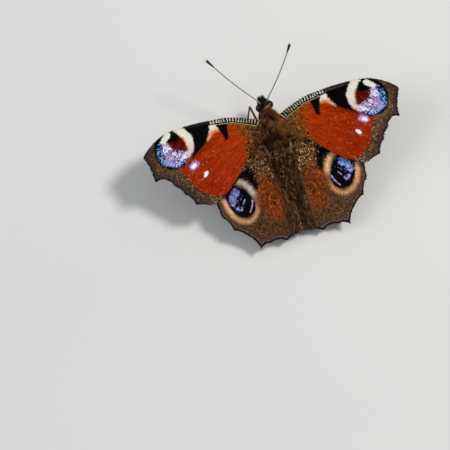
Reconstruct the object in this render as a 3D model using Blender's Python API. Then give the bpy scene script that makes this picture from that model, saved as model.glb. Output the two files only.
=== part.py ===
"""Peacock butterfly (Aglais io) at life size, basking with open wings and standing on four legs.

Lengths are in millimetres until a mesh is written. The body frame has its origin midway between
the wing roots, +X to the butterfly's left, +Y towards its tail and +Z out of its back. Wings are
laid out flat as (out, back) points, for one side, and mirrored by the sign of X.
"""

from math import cos, pi, radians, sin, tan

import bmesh
import bpy
import numpy as np
from mathutils import Matrix, Vector
from mathutils.geometry import delaunay_2d_cdt

MM = 0.001
SHARP_ANGLE = radians(50.0)  # edges that bend more are drawn sharp
GAP = 0.3  # clear space between two neighbouring pieces
SIDES = {"left": 1.0, "right": -1.0}

# Stance
ROOT_HEIGHT = 7.6  # wing roots above the floor
BODY_PITCH = radians(8.0)  # head up
HEAD_TURN = radians(4.0)  # towards the butterfly's left
NECK_Y = -4.6

# Body: rows of y, half width, top z and bottom z
HEAD_ROWS = ((-7.3, 0.45, -0.95, -1.95), (-6.9, 0.85, -0.4, -2.4), (-6.0, 1.05, -0.05, -2.6),
             (-5.3, 1.05, -0.2, -2.45), (-4.75, 0.95, -0.5, -2.15))
THORAX_ROWS = ((-4.45, 1.15, -0.35, -2.35), (-3.6, 1.9, 0.35, -3.3), (-2.0, 2.5, 1.05, -4.0),
               (0.2, 2.75, 1.4, -4.2), (2.2, 2.6, 1.25, -3.9), (3.5, 2.25, 0.95, -3.2),
               (4.3, 1.85, 0.55, -2.5))
ABDOMEN_ROWS = ((4.6, 1.8, 0.55, -2.4), (6.2, 2.1, 0.75, -3.0), (9.2, 2.15, 0.5, -3.35),
                (12.2, 1.95, -0.05, -3.55), (14.8, 1.45, -0.85, -3.5), (16.4, 0.8, -1.65, -3.2),
                (17.0, 0.35, -2.15, -2.85))
HEAD_SHAPE = 3.2  # exponents of the sections: 2 is an ellipse, more is squarer
THORAX_SHAPE = 2.3
ABDOMEN_SHAPE = 2.1
BODY_SIDES = 20
ABDOMEN_SEGMENTS = 8
SEGMENT_GROOVE = 0.05  # share of the radius
GROOVE_STEPS = 3  # sections for each of the abdomen's segments
SCUTUM_GROOVE = (2.9, 0.25, 0.12)  # y, half width, depth
TEGULA_PLACE = (2.0, -1.6)  # out, y
TEGULA_SPREAD = (0.7, 1.2)
TEGULA_RISE = 0.3

EYE_CENTRE = (5.95, 1.3)  # ahead of the wing roots, below them
EYE_RADII = (0.85, 0.95, 1.1)
EYE_SIDES = 16
EYE_RISES = (0.0, 22.0, 44.0, 64.0, 80.0)  # degrees up the dome
PALP_RADII = ((0, 0.25, 0.7, 1), (0.32, 0.42, 0.34, 0.16))  # share of its length, radius
PALP_PATH = ((0.6, -7.35, -2.45), (0.62, -8.1, -2.2), (0.58, -8.7, -1.35))

# Antennae: length, angle out from the head's axis, angle up, all from the head's crown
ANTENNA = {"left": (16.0, radians(33.6), radians(17.0)), "right": (14.6, radians(46.2), radians(32.0))}
ANTENNA_BASE = (0.72, -6.55, 0.25)
ANTENNA_BEND = 0.35  # sideways bow at the middle
KNOB_MARKS = (0.0, 0.025, 0.05)  # shares of the antenna's length
KNOB_RADIUS = 0.3
SHAFT_START = 0.12
SHAFT_RADIUS = 0.25
CLUB_LENGTH = 2.8
CLUB_MARKS = (0.25, 0.5, 0.8, 1.0)  # shares of the club's length
CLUB_RADII = (0.34, 0.4, 0.36, 0.16)

# Wings
MEMBRANE = 0.5
VEIN_RISE = 0.15
VEIN_HALF_WIDTH = 0.3
VEIN_STOP = 0.55  # how far short of the margin a vein ends
FLANK_ROOM = 0.25
RIM_ROOM = 0.7
FILL_SPACING = 2.3
WING_DIHEDRAL = {"fore": radians(8.0), "hind": radians(7.0)}
WING_ROOT_Z = {"fore": 0.45, "hind": -0.75}
WING_ROOT = {"fore": (2.3, -0.9), "hind": (2.3, 1.5)}
WING_DROOP = 0.0015  # fall for each square millimetre of distance back
SWEEP = {"left": radians(1.4), "right": radians(-1.4)}  # forwards
REACH = {"fore": {"left": 1.015, "right": 0.985}, "hind": {"left": 0.99, "right": 0.99}}
CORNER_SHIFT = {"left": (0.0, 0.0), "right": (-0.65, 0.2)}  # of the fore wing's lower tip corner
CORNER_START, CORNER_ROOM = (25.5, 0.5), (3.0, 4.0)  # where the shift begins, and how soon it is full

COSTA = ((4.0, -3.3), (8.6, -4.8), (17.0, -5.3), (24.0, -4.6), (27.8, -2.4))
FORE_ROOT_SPAN = (-2.5, 0.5)
FORE_TIPS = {"R5": (29.6, -0.5), "M1": (28.55, 5.75), "M2": (25.8, 5.95), "M3": (24.65, 7.6),
             "CuA1": (22.8, 10.0), "CuA2": (21.15, 12.8), "A": (17.75, 13.9)}
FORE_SAGS = (0.35, 0.5, 0.3, 0.3, 0.35, 0.15)
DORSUM = ((13.0, 11.0), (8.0, 6.0), (5.0, 2.6))
FORE_VEINS = {
    "Sc": ((3.1, -1.9), (6.5, -3.2), (11.0, -4.2), (14.6, -4.7)),
    "R": ((3.1, -0.6), (8.0, -1.7), (13.9, -1.7), (19.0, -2.1)),
    "R1": ((10.5, -1.95), (15.5, -3.6), (19.4, -4.8)),
    "R2": ((13.9, -1.7), (18.5, -3.5), (22.8, -4.3)),
    "R3": ((19.0, -2.1), (22.5, -3.3), (25.6, -3.4)),
    "R5": ((19.0, -2.1), (24.5, -1.5)),
    "M1": ((14.3, -1.1), (21.5, 1.2)),
    "M2": ((14.6, 0.7), (20.0, 3.2)),
    "M3": ((14.2, 2.9), (19.5, 5.4)),
    "CuA1": ((12.6, 3.0), (17.5, 7.2)),
    "CuA2": ((9.0, 2.2), (14.5, 7.7)),
    "A": ((3.2, 0.2), (9.0, 5.1), (14.0, 10.2)),
    "Cu": ((4.6, -0.75), (9.0, 2.2), (12.6, 3.0), (14.2, 2.9)),
    "cell end": ((13.9, -1.7), (14.3, -1.1), (14.6, 0.7), (14.2, 2.9)),
}

HIND_COSTA = ((6.5, 1.6), (11.5, 5.4), (15.7, 10.2))
HIND_ROOT_SPAN = (1.0, 3.9)
HIND_TIPS = {"Sc": (17.2, 13.6), "Rs": (16.9, 16.6), "M1": (15.1, 20.1), "M2": (12.4, 22.1),
             "M3": (10.35, 25.5), "CuA1": (7.8, 24.8), "CuA2": (4.25, 25.1), "A": (0.4, 24.0)}
HIND_SAGS = (0.1, 0.35, 0.3, 0.35, 0.45, 0.6, 0.4)
HIND_VEINS = {
    "Sc": ((3.4, 1.9), (8.0, 3.9), (13.0, 8.6)),
    "Rs": ((5.2, 4.6), (8.6, 7.6), (13.4, 12.2)),
    "M1": ((8.6, 7.6), (10.2, 9.7), (13.4, 15.0)),
    "M2": ((10.2, 9.7), (9.6, 11.4), (11.9, 17.0)),
    "M3": ((7.2, 11.7), (9.5, 18.5)),
    "CuA1": ((6.6, 10.9), (7.8, 18.0)),
    "CuA2": ((5.2, 7.9), (5.3, 16.5)),
    "A": ((3.1, 3.4), (3.9, 9.5), (3.0, 17.5), (1.9, 22.5)),
    "Cu": ((5.2, 4.6), (5.2, 7.9), (6.6, 10.9), (7.2, 11.7), (9.6, 11.4)),
    "stem": ((3.4, 2.7), (5.2, 4.6)),
}
MIDLINE_HALF_GAP = 0.15
VALLEY_ROWS = ((4.0, -0.85), (6.0, -1.1), (9.0, -1.4), (12.0, -1.8), (15.0, -2.2), (17.5, -2.5),
               (24.5, -2.3))  # back, z of the hind wing's inner edge
VALLEY_WIDTH = 1.8
VALLEY_START = 1.5  # length behind the wing's root over which it deepens

# Legs: hip angle round the thorax's section, hip y, then knee in the body frame, and ankle and
# toe on the floor as (out, y)
LEGS = {
    "midleg_left": (-55.0, -0.9, (3.3, -6.9, -1.3), (4.6, -5.7), (7.0, -6.2)),
    "midleg_right": (-55.0, -0.9, (4.9, -3.2, -1.9), (6.3, -5.6), (8.4, -7.4)),
    "hindleg_left": (-55.0, 1.9, (5.6, 4.3, -2.0), (6.4, 9.3), (7.3, 12.4)),
    "hindleg_right": (-55.0, 1.9, (5.7, 4.0, -2.0), (6.6, 8.9), (7.7, 12.0)),
}
TROCHANTER_DROP = 0.7
HIP_RADIUS = 0.3
FEMUR_RADIUS = 0.38
KNEE_RADIUS = 0.3
TIBIA_RADIUS = 0.28
TARSUS_RADIUS = 0.3
TOE_RADIUS = 0.24
TARSUS_CENTRE = 0.22  # its axis above the floor, less than its radius, so that the sole is flat
SOLE_BAND = 0.06  # what would lie lower than this is pressed flat on the floor
LEG_SIDES = 8
BEND_ROOM = 0.9  # no section lies nearer to a bend than this
BEND_BLUNTNESS = 1.15  # reach of a bend's outer side, in radii
RING_SPACING = 1.5
FORELEG_HIP = (-62.0, -3.2)
FORELEG_DROP = 0.5
FORELEG_PATH = ((1.15, -5.8, -3.45), (1.6, -4.7, -5.1), (1.6, -3.8, -5.6))
FORELEG_RADIUS = 0.27
FORELEG_SIDES = 6

COLOURS = {
    "fur_brown": ((0.085, 0.048, 0.028), 0.85),
    "abdomen_brown": ((0.060, 0.036, 0.024), 0.8),
    "head_brown": ((0.050, 0.030, 0.022), 0.85),
    "eye_dark": ((0.018, 0.012, 0.011), 0.15),
    "palp_black": ((0.022, 0.018, 0.018), 0.8),
    "antenna_grey": ((0.10, 0.09, 0.075), 0.5),
    "leg_brown": ((0.075, 0.055, 0.038), 0.55),
    "forewing_red": ((0.42, 0.055, 0.015), 0.7),
    "hindwing_rust": ((0.27, 0.045, 0.018), 0.7),
}


def remove_everything():
    for obj in list(bpy.data.objects):
        bpy.data.objects.remove(obj, do_unlink=True)


def finish(name):
    """The Principled material of this name."""
    colour, roughness = COLOURS[name]
    material = bpy.data.materials.get(name) or bpy.data.materials.new(name)
    material.use_nodes = True
    shader = material.node_tree.nodes["Principled BSDF"]
    shader.inputs["Base Color"].default_value = (*colour, 1.0)
    shader.inputs["Roughness"].default_value = roughness
    shader.inputs["Metallic"].default_value = 0.0
    return material


def axis_empty(name, parent, location, rotation):
    empty = bpy.data.objects.new(name, None)
    bpy.context.scene.collection.objects.link(empty)
    empty.parent = parent
    empty.location = Vector(location) * MM
    empty.rotation_euler = rotation
    return empty


def solid(name, points, faces, material, parent, pivot=(0.0, 0.0, 0.0)):
    """One closed object from points in millimetres, with its origin at pivot."""
    mesh = bpy.data.meshes.new(name)
    places = (np.asarray(points, float) - pivot) * MM
    mesh.from_pydata(places.tolist(), [], [list(face) for face in faces])
    shell = bmesh.new()
    shell.from_mesh(mesh)
    bmesh.ops.recalc_face_normals(shell, faces=shell.faces)
    shell.to_mesh(mesh)
    shell.free()
    mesh.materials.append(finish(material))
    mesh.shade_smooth()
    mesh.set_sharp_from_angle(angle=SHARP_ANGLE)
    obj = bpy.data.objects.new(name, mesh)
    bpy.context.scene.collection.objects.link(obj)
    obj.parent = parent
    obj.location = Vector(pivot) * MM
    return obj


def smooth_curve(points, steps):
    """A Catmull-Rom curve through the points, with this many steps between two of them."""
    points = np.asarray(points, float)
    before = 2 * points[0] - points[1]
    after = 2 * points[-1] - points[-2]
    ends = np.vstack([before, points, after])
    share = np.linspace(0.0, 1.0, steps, endpoint=False)[:, None]
    runs = []
    for a, b, c, d in zip(ends, ends[1:], ends[2:], ends[3:]):
        runs.append(0.5 * (2 * b + (c - a) * share + (2 * a - 5 * b + 4 * c - d) * share**2
                           + (3 * b - a - 3 * c + d) * share**3))
    return np.vstack([*runs, points[-1:]])


def section_at(rows, y):
    """Half width, middle height and half height of a body part at y."""
    fine = smooth_curve(rows, 12)
    width = np.interp(y, fine[:, 0], fine[:, 1])
    top = np.interp(y, fine[:, 0], fine[:, 2])
    bottom = np.interp(y, fine[:, 0], fine[:, 3])
    return width, (top + bottom) / 2, (top - bottom) / 2


def half_width_at(rows, shape, y, z):
    """Half width of a body part at y and at the height z."""
    width, middle, height = section_at(rows, y)
    level = np.clip(np.abs(z - middle) / height, 0.0, 0.999)
    return width * (1 - level**shape) ** (1 / shape)


def section_point(rows, shape, y, angle):
    """A point of a section, a superellipse, at an angle measured up from +X."""
    width, middle, height = section_at(rows, y)
    across = np.sign(np.cos(angle)) * np.abs(np.cos(angle)) ** (2 / shape)
    up = np.sign(np.sin(angle)) * np.abs(np.sin(angle)) ** (2 / shape)
    return np.stack([width * across, np.full_like(across, y), middle + height * up], -1)


def loft(rings):
    """Points and faces of a closed body through rings of equal count."""
    count = len(rings[0])
    faces = [list(range(count))[::-1]]
    for start in range(0, (len(rings) - 1) * count, count):
        for i in range(count):
            j = (i + 1) % count
            faces.append([start + i, start + j, start + count + j, start + count + i])
    last = (len(rings) - 1) * count
    faces.append(list(range(last, last + count)))
    return np.vstack(rings), faces


def body_rings(rows, shape, stations):
    angles = np.arange(BODY_SIDES) * 2 * pi / BODY_SIDES
    return [section_point(rows, shape, y, angles) for y in stations]


def build_head(parent):
    stations = smooth_curve(HEAD_ROWS, 2)[:, 0]
    points, faces = loft(body_rings(HEAD_ROWS, HEAD_SHAPE, stations))
    solid("head", points, faces, "head_brown", parent, (0.0, NECK_Y, 0.0))


def build_thorax(parent):
    """The thorax, with a groove before the scutellum and a tegula raised over each fore wing."""
    groove_y, groove_width, groove_depth = SCUTUM_GROOVE
    stations = smooth_curve(THORAX_ROWS, 2)[:, 0]
    stations = np.sort(np.append(stations, [groove_y - groove_width, groove_y]))
    points, faces = loft(body_rings(THORAX_ROWS, THORAX_SHAPE, stations))
    x, y, z = points.T
    groove = np.exp(-((y - groove_y) / groove_width) ** 2) * (z > 0)
    across = (np.abs(x) - TEGULA_PLACE[0]) / TEGULA_SPREAD[0]
    along = (y - TEGULA_PLACE[1]) / TEGULA_SPREAD[1]
    shoulder = np.exp(-across**2 - along**2) * (z > 0)
    points[:, 2] += TEGULA_RISE * shoulder - groove_depth * groove
    solid("thorax", points, faces, "fur_brown", parent)


def build_abdomen(parent):
    """The abdomen, with a shallow groove between one segment and the next."""
    start, end = ABDOMEN_ROWS[0][0], ABDOMEN_ROWS[-1][0]
    steps = ABDOMEN_SEGMENTS * GROOVE_STEPS
    stations = np.linspace(start, end, steps + 1)
    rings = body_rings(ABDOMEN_ROWS, ABDOMEN_SHAPE, stations)
    for i in range(GROOVE_STEPS, steps - GROOVE_STEPS, GROOVE_STEPS):
        centre = rings[i].mean(axis=0)
        rings[i] = centre + (rings[i] - centre) * (1 - SEGMENT_GROOVE)
    points, faces = loft(rings)
    solid("abdomen", points, faces, "abdomen_brown", parent)


def build_eye(side, parent):
    """A dome whose flat back stands a gap off the flat side of the head."""
    sign = SIDES[side]
    flat = HEAD_ROWS[2][1] + GAP
    turn = np.arange(EYE_SIDES) * 2 * pi / EYE_SIDES
    rings = []
    for rise in np.radians(EYE_RISES):
        x = np.full_like(turn, sign * (flat + EYE_RADII[0] * sin(rise)))
        y = -EYE_CENTRE[0] + EYE_RADII[1] * cos(rise) * np.cos(turn)
        z = -EYE_CENTRE[1] + EYE_RADII[2] * cos(rise) * np.sin(turn)
        rings.append(np.stack([x, y, z], -1))
    points, faces = loft(rings)
    pivot = (sign * flat, -EYE_CENTRE[0], -EYE_CENTRE[1])
    solid(f"eye_{side}", points, faces, "eye_dark", parent, pivot)


def tube(path, radii, count):
    """Rings square to the path, whose frame turns no more than the path does."""
    path = np.asarray(path, float)
    along = np.gradient(path, axis=0)
    along /= np.linalg.norm(along, axis=1)[:, None]
    up = np.cross(along[0], (0.31, 0.17, 0.93))
    turn = np.arange(count) * 2 * pi / count
    rings = []
    for place, ahead, radius in zip(path, along, radii):
        up = up - ahead * (up @ ahead)
        up /= np.linalg.norm(up)
        across = np.cross(ahead, up)
        ring = np.cos(turn)[:, None] * up + np.sin(turn)[:, None] * across
        rings.append(place + radius * ring)
    return rings


def lengths_along(path):
    steps = np.linalg.norm(np.diff(path, axis=0), axis=1)
    return np.concatenate([[0.0], np.cumsum(steps)])


def jointed_tube(corners, profile, count):
    """Rings along straight joints. At a bend one ring lies in the plane that halves it, so that
    the two joints never cross, and its outer side is kept blunt. Beyond a bend the rings are the
    mirror image in that plane of those before it."""
    corners = np.asarray(corners, float)
    runs = lengths_along(corners)
    heads = np.diff(corners, axis=0)
    heads /= np.linalg.norm(heads, axis=1)[:, None]
    around = tube(corners[:2], (1.0, 1.0), count)[0] - corners[0]
    rings = []

    def add_ring(joint, station, shape):
        radius = np.interp(runs[joint] + station, *profile)
        rings.append(corners[joint] + heads[joint] * station + radius * shape)

    add_ring(0, 0.0, around)
    for joint, length in enumerate(np.diff(runs)):
        room = length - 2 * BEND_ROOM
        if room > 0:
            for station in np.linspace(BEND_ROOM, length - BEND_ROOM, 1 + int(room / RING_SPACING)):
                add_ring(joint, station, around)
        if joint == len(heads) - 1:
            add_ring(joint, length, around)
            continue
        ahead, onwards = heads[joint], heads[joint + 1]
        across = (ahead + onwards) / np.linalg.norm(ahead + onwards)
        lean = around @ across
        cut = around - np.outer(lean / (ahead @ across), ahead)
        blunt = np.minimum(1.0, BEND_BLUNTNESS / np.linalg.norm(cut, axis=1))
        outer = cut @ (onwards - ahead) < 0
        add_ring(joint, length, cut * np.where(outer, blunt, 1.0)[:, None])
        around = around - 2 * np.outer(lean, across)
    return rings


def build_palp(side, parent):
    path = smooth_curve(np.array(PALP_PATH) * (SIDES[side], 1.0, 1.0), 3)
    radii = np.interp(np.linspace(0, 1, len(path)), *PALP_RADII)
    points, faces = loft(tube(path, radii, 8))
    solid(f"palp_{side}", points, faces, "palp_black", parent, tuple(path[0]))


def build_antenna(side, parent):
    """A slender shaft with a knob at its root, bowed a little outwards, and the club at its end."""
    sign = SIDES[side]
    length, spread, rise = ANTENNA[side]
    root = np.array(ANTENNA_BASE) * (sign, 1.0, 1.0)
    ahead = np.array([sign * sin(spread) * cos(rise), -cos(spread) * cos(rise), sin(rise)])
    bow = np.array([sign * cos(spread), sin(spread), 0.0]) * ANTENNA_BEND
    club_start = (length - CLUB_LENGTH) / length
    marks = np.concatenate([KNOB_MARKS, np.linspace(SHAFT_START, club_start, 7),
                            club_start + (1 - club_start) * np.array(CLUB_MARKS)])
    path = root + marks[:, None] * length * ahead + np.sin(marks * pi)[:, None] * bow
    radii = np.full(len(marks), SHAFT_RADIUS)
    radii[:2] = KNOB_RADIUS
    radii[-len(CLUB_RADII):] = CLUB_RADII
    points, faces = loft(tube(path, radii, 8))
    solid(f"antenna_{side}", points, faces, "antenna_grey", parent, tuple(root))


def scalloped_edge(tips, sags):
    """The outer margin: from each vein tip to the next, an arc that sags inwards."""
    tips = np.asarray(list(tips.values()), float)
    middle = tips.mean(axis=0) * (0.5, 0.8)
    share = np.array((0.0, 0.15, 0.38, 0.62, 0.85))[:, None]
    runs = []
    for a, b, sag in zip(tips, tips[1:], sags):
        inwards = np.array([b[1] - a[1], a[0] - b[0]])
        inwards /= np.linalg.norm(inwards)
        if (middle - a) @ inwards < 0:
            inwards = -inwards
        runs.append(a + (b - a) * share + inwards * sag * 4 * share * (1 - share))
    return np.vstack([*runs, tips[-1:]])


def posed(points, wing, side):
    """Flat wing points swept forwards and stretched about the wing's root, after the fore wing's
    lower tip corner is shifted, by a share that rises smoothly outwards and back."""
    points = np.asarray(points, float)
    if wing == "fore":
        share = np.clip((points - CORNER_START) / CORNER_ROOM, 0, 1)
        share = share * share * (3 - 2 * share)
        points = points + share.prod(axis=-1, keepdims=True) * CORNER_SHIFT[side]
    root = np.array(WING_ROOT[wing])
    turn = -SWEEP[side]
    spin = np.array([[cos(turn), -sin(turn)], [sin(turn), cos(turn)]])
    return (points - root) @ spin.T * (REACH[wing][side], 1.0) + root


def wing_plane(wing, out, back):
    rise = (out - WING_ROOT[wing][0]) * tan(WING_DIHEDRAL[wing])
    return WING_ROOT_Z[wing] + rise - WING_DROOP * np.maximum(back, 0.0) ** 2


def hind_inner_edge(back):
    """How far out the hind wing's inner edge runs: along the body, then along the midline."""
    side = half_width_at(THORAX_ROWS, THORAX_SHAPE, back, WING_ROOT_Z["hind"])
    beside = half_width_at(ABDOMEN_ROWS, ABDOMEN_SHAPE, back, np.interp(back, *valley()))
    beside = np.where(back > ABDOMEN_ROWS[-1][0], 0.0, beside)
    body = np.where(back < THORAX_ROWS[-1][0], side, np.maximum(beside, 0.0))
    return np.maximum(body + GAP, MIDLINE_HALF_GAP)


def valley():
    rows = np.array(VALLEY_ROWS)
    return rows[:, 0], rows[:, 1]


def wing_height(wing, out, back):
    """The wing's middle surface. The hind wing dips into a valley along the abdomen."""
    height = wing_plane(wing, out, back)
    if wing == "fore":
        return height
    edge = hind_inner_edge(back)
    dip = np.interp(back, *valley()) - wing_plane(wing, edge, back)
    share = np.exp(-(((out - edge) / VALLEY_WIDTH) ** 2))
    behind_root = np.clip((back - HIND_ROOT_SPAN[1]) / VALLEY_START, 0.0, 1.0)
    return height + dip * share * behind_root


def fore_outline(side):
    tips = {name: posed([tip], "fore", side)[0] for name, tip in FORE_TIPS.items()}
    margin = scalloped_edge(tips, FORE_SAGS)
    front, rear = FORE_ROOT_SPAN
    root_back = np.linspace(rear, front, 5)
    under = WING_ROOT_Z["fore"] - MEMBRANE / 2 - VEIN_RISE
    root_out = half_width_at(THORAX_ROWS, THORAX_SHAPE, root_back, under) + GAP
    root = np.stack([root_out, root_back], -1)
    costa = smooth_curve(np.vstack([root[-1:], posed(COSTA, "fore", side), margin[:1]]), 4)
    dorsum = smooth_curve(np.vstack([margin[-1:], posed(DORSUM, "fore", side), root[:1]]), 5)
    return np.vstack([costa[:-1], margin[:-1], dorsum[:-1], root[:-1]])


def hind_outline(side):
    tips = {name: posed([tip], "hind", side)[0] for name, tip in HIND_TIPS.items()}
    corner = HIND_TIPS["A"][1]
    body_end = ABDOMEN_ROWS[-1][0]
    tips["A"] = np.array((MIDLINE_HALF_GAP, corner))
    margin = scalloped_edge(tips, HIND_SAGS)
    front, rear = HIND_ROOT_SPAN
    inner_back = np.concatenate([np.linspace(corner, body_end, 7)[1:-1] + 0.2,
                                 np.linspace(body_end, rear, 14)[:-1]])
    inner = np.stack([hind_inner_edge(inner_back), inner_back], -1)
    root_back = np.linspace(rear, front, 4)
    root = np.stack([hind_inner_edge(root_back), root_back], -1)
    costa = smooth_curve(np.vstack([root[-1:], posed(HIND_COSTA, "hind", side), margin[:1]]), 4)
    return np.vstack([costa[:-1], margin, inner, root[:-1]])


def vein_paths(wing, side):
    """Each vein as a smooth line, which stops short of the margin where it ends at a tip."""
    veins, tips = (FORE_VEINS, FORE_TIPS) if wing == "fore" else (HIND_VEINS, HIND_TIPS)
    paths = {}
    for name, points in veins.items():
        points = np.array(points)
        if name in tips and name != "A":
            points = np.vstack([points, tips[name]])
        path = smooth_curve(posed(points, wing, side), 4 if len(points) < 4 else 3)
        if name in tips and name != "A":
            last = path[-2] - path[-1]
            path[-1] += last * VEIN_STOP / np.linalg.norm(last)
        paths[name] = path
    return paths


def distance_to(points, path):
    """Each point's distance to a line of straight pieces."""
    a, b = path[:-1], path[1:]
    along = b - a
    share = ((points[:, None] - a) * along).sum(-1) / (along**2).sum(-1)
    nearest = a + np.clip(share, 0, 1)[..., None] * along
    return np.linalg.norm(points[:, None] - nearest, axis=-1).min(axis=1)


def inside(points, outline):
    """Which points lie inside the outline, by counting the edges that a ray crosses."""
    x, y = points[:, 0, None], points[:, 1, None]
    a, b = outline, np.roll(outline, -1, axis=0)
    spans = (a[:, 1] > y) != (b[:, 1] > y)
    rise = np.where(b[:, 1] == a[:, 1], 1.0, b[:, 1] - a[:, 1])
    crossing = a[:, 0] + (y - a[:, 1]) * (b[:, 0] - a[:, 0]) / rise
    return (spans & (x < crossing)).sum(axis=1) % 2 == 1


def vein_flanks(path, outline):
    """The lines where a vein's ridge meets the membrane, drawn in before each end of the vein."""
    along = np.gradient(path, axis=0)
    along /= np.linalg.norm(along, axis=1)[:, None]
    square = np.stack([-along[:, 1], along[:, 0]], -1)
    flanks = [path[1:-1] + sign * VEIN_HALF_WIDTH * square[1:-1] for sign in (1, -1)]
    closed = np.vstack([outline, outline[:1]])
    clear = [inside(f, outline) & (distance_to(f, closed) > FLANK_ROOM) for f in flanks]
    return [flank[keep] for flank, keep in zip(flanks, clear)]


def wing_pattern(outline, paths):
    """Points and edges to be triangulated: the outline, the veins and an even filling."""
    closed = np.vstack([outline, outline[:1]])
    points = [outline]
    edges = [(i, (i + 1) % len(outline)) for i in range(len(outline))]
    lines = list(paths.values())
    for path in paths.values():
        lines += [flank for flank in vein_flanks(path, outline) if len(flank) > 1]
    start = len(outline)
    for line in lines:
        points.append(line)
        edges += [(start + i, start + i + 1) for i in range(len(line) - 1)]
        start += len(line)
    low, high = outline.min(axis=0), outline.max(axis=0)
    rows = np.arange(low[1], high[1], FILL_SPACING * cos(pi / 6))
    columns = np.arange(low[0], high[0], FILL_SPACING)
    filling = np.array([(x + k % 2 * FILL_SPACING / 2, y) for k, y in enumerate(rows) for x in columns])
    filling = filling[inside(filling, outline)]
    room = np.min([distance_to(filling, path) for path in paths.values()], axis=0)
    filling = filling[(room > 3 * VEIN_HALF_WIDTH) & (distance_to(filling, closed) > RIM_ROOM)]
    return np.vstack([*points, filling]), edges


def build_wing(wing, side, parent):
    """A thin plate whose two faces are split alike, with the veins raised on both."""
    outline = fore_outline(side) if wing == "fore" else hind_outline(side)
    paths = vein_paths(wing, side)
    points, edges = wing_pattern(outline, paths)
    flat = delaunay_2d_cdt([Vector(p) for p in points], edges, [], 0, 1e-4)
    corners = np.array([tuple(v) for v in flat[0]])
    triangles = np.array(flat[2])
    triangles = triangles[inside(corners[triangles].mean(axis=1), outline)]
    used, triangles = np.unique(triangles, return_inverse=True)
    corners, triangles = corners[used], triangles.reshape(-1, 3)
    near = np.min([distance_to(corners, path) for path in paths.values()], axis=0)
    ridge = VEIN_RISE * np.clip(1 - near / VEIN_HALF_WIDTH, 0.0, 1.0)
    middle = wing_height(wing, corners[:, 0], corners[:, 1])
    x = SIDES[side] * corners[:, 0]
    top = np.stack([x, corners[:, 1], middle + MEMBRANE / 2 + ridge], -1)
    bottom = np.stack([x, corners[:, 1], middle - MEMBRANE / 2 - ridge], -1)
    count = len(corners)
    ends = np.concatenate([triangles[:, [0, 1]], triangles[:, [1, 2]], triangles[:, [2, 0]]])
    _, index, times = np.unique(np.sort(ends, axis=1), axis=0, return_index=True, return_counts=True)
    rim = ends[index[times == 1]]
    faces = [*triangles.tolist(), *(triangles[:, ::-1] + count).tolist()]
    faces += [[b, a, a + count] for a, b in rim.tolist()]
    faces += [[b, a + count, b + count] for a, b in rim.tolist()]
    pivot = (SIDES[side] * WING_ROOT[wing][0], WING_ROOT[wing][1], WING_ROOT_Z[wing])
    solid(f"{wing}wing_{side}", np.vstack([top, bottom]), faces,
          "forewing_red" if wing == "fore" else "hindwing_rust", parent, pivot)


def hip_point(angle, y, sign, clear):
    """A point this far off the thorax's surface at an angle round its section, and the way out."""
    surface = section_point(THORAX_ROWS, THORAX_SHAPE, y, np.array([radians(angle)]))[0]
    _, middle, _ = section_at(THORAX_ROWS, y)
    outwards = surface - (0.0, y, middle)
    outwards /= np.linalg.norm(outwards)
    mirror = (sign, 1.0, 1.0)
    return (surface + outwards * clear) * mirror, outwards * mirror


def to_floor_frame(point):
    """A point of the body frame in the frame whose z is 0 on the floor."""
    turned = Matrix.Rotation(-BODY_PITCH, 3, "X") @ Vector(point)
    return np.array(turned) + (0.0, 0.0, ROOT_HEIGHT)


def leg_profile(corners):
    """Lengths along a leg and its radius there: a swollen femur, a slim tibia and the tarsus."""
    _, _, knee, ankle, toe = lengths_along(np.array(corners))
    marks = (0.0, 0.4 * knee, 0.9 * knee, knee + 0.4, ankle - 0.3, ankle + 0.6, toe)
    radii = (HIP_RADIUS, FEMUR_RADIUS, KNEE_RADIUS, TIBIA_RADIUS, TIBIA_RADIUS, TARSUS_RADIUS, TOE_RADIUS)
    return marks, radii


def build_leg(name, parent):
    """Hip, trochanter, femur, tibia and a tarsus whose sole lies flat on the floor."""
    sign = SIDES[name.split("_")[1]]
    angle, hip_y, knee, ankle, toe = LEGS[name]
    hip, outwards = hip_point(angle, hip_y, sign, GAP + 0.05)
    trochanter = hip + outwards * TROCHANTER_DROP
    corners = [to_floor_frame(hip), to_floor_frame(trochanter),
               to_floor_frame(np.array(knee) * (sign, 1.0, 1.0)),
               np.array((sign * ankle[0], ankle[1], TARSUS_CENTRE)),
               np.array((sign * toe[0], toe[1], TARSUS_CENTRE))]
    points, faces = loft(jointed_tube(corners, leg_profile(corners), LEG_SIDES))
    points[points[:, 2] < SOLE_BAND, 2] = 0.0
    solid(name, points, faces, "leg_brown", parent, tuple(corners[0]))


def build_foreleg(side, parent):
    """The short brush-like foreleg, which stays folded under the head."""
    sign = SIDES[side]
    hip, outwards = hip_point(*FORELEG_HIP, sign, GAP + 0.05)
    corners = np.vstack([hip, hip + outwards * FORELEG_DROP, np.array(FORELEG_PATH) * (sign, 1.0, 1.0)])
    profile = ((0.0, 1.0), (FORELEG_RADIUS, FORELEG_RADIUS))
    points, faces = loft(jointed_tube(corners, profile, FORELEG_SIDES))
    solid(f"foreleg_{side}", points, faces, "leg_brown", parent, tuple(hip))


def centre_on_origin(root):
    """Moves the root so that the box's bottom centre is the world's origin."""
    bpy.context.view_layer.update()
    corners = [obj.matrix_world @ vertex.co
               for obj in bpy.data.objects if obj.type == "MESH" for vertex in obj.data.vertices]
    corners = np.array(corners)
    low, high = corners.min(axis=0), corners.max(axis=0)
    root.location = (-(low[0] + high[0]) / 2, -(low[1] + high[1]) / 2, -low[2])
    bpy.context.view_layer.update()


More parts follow.
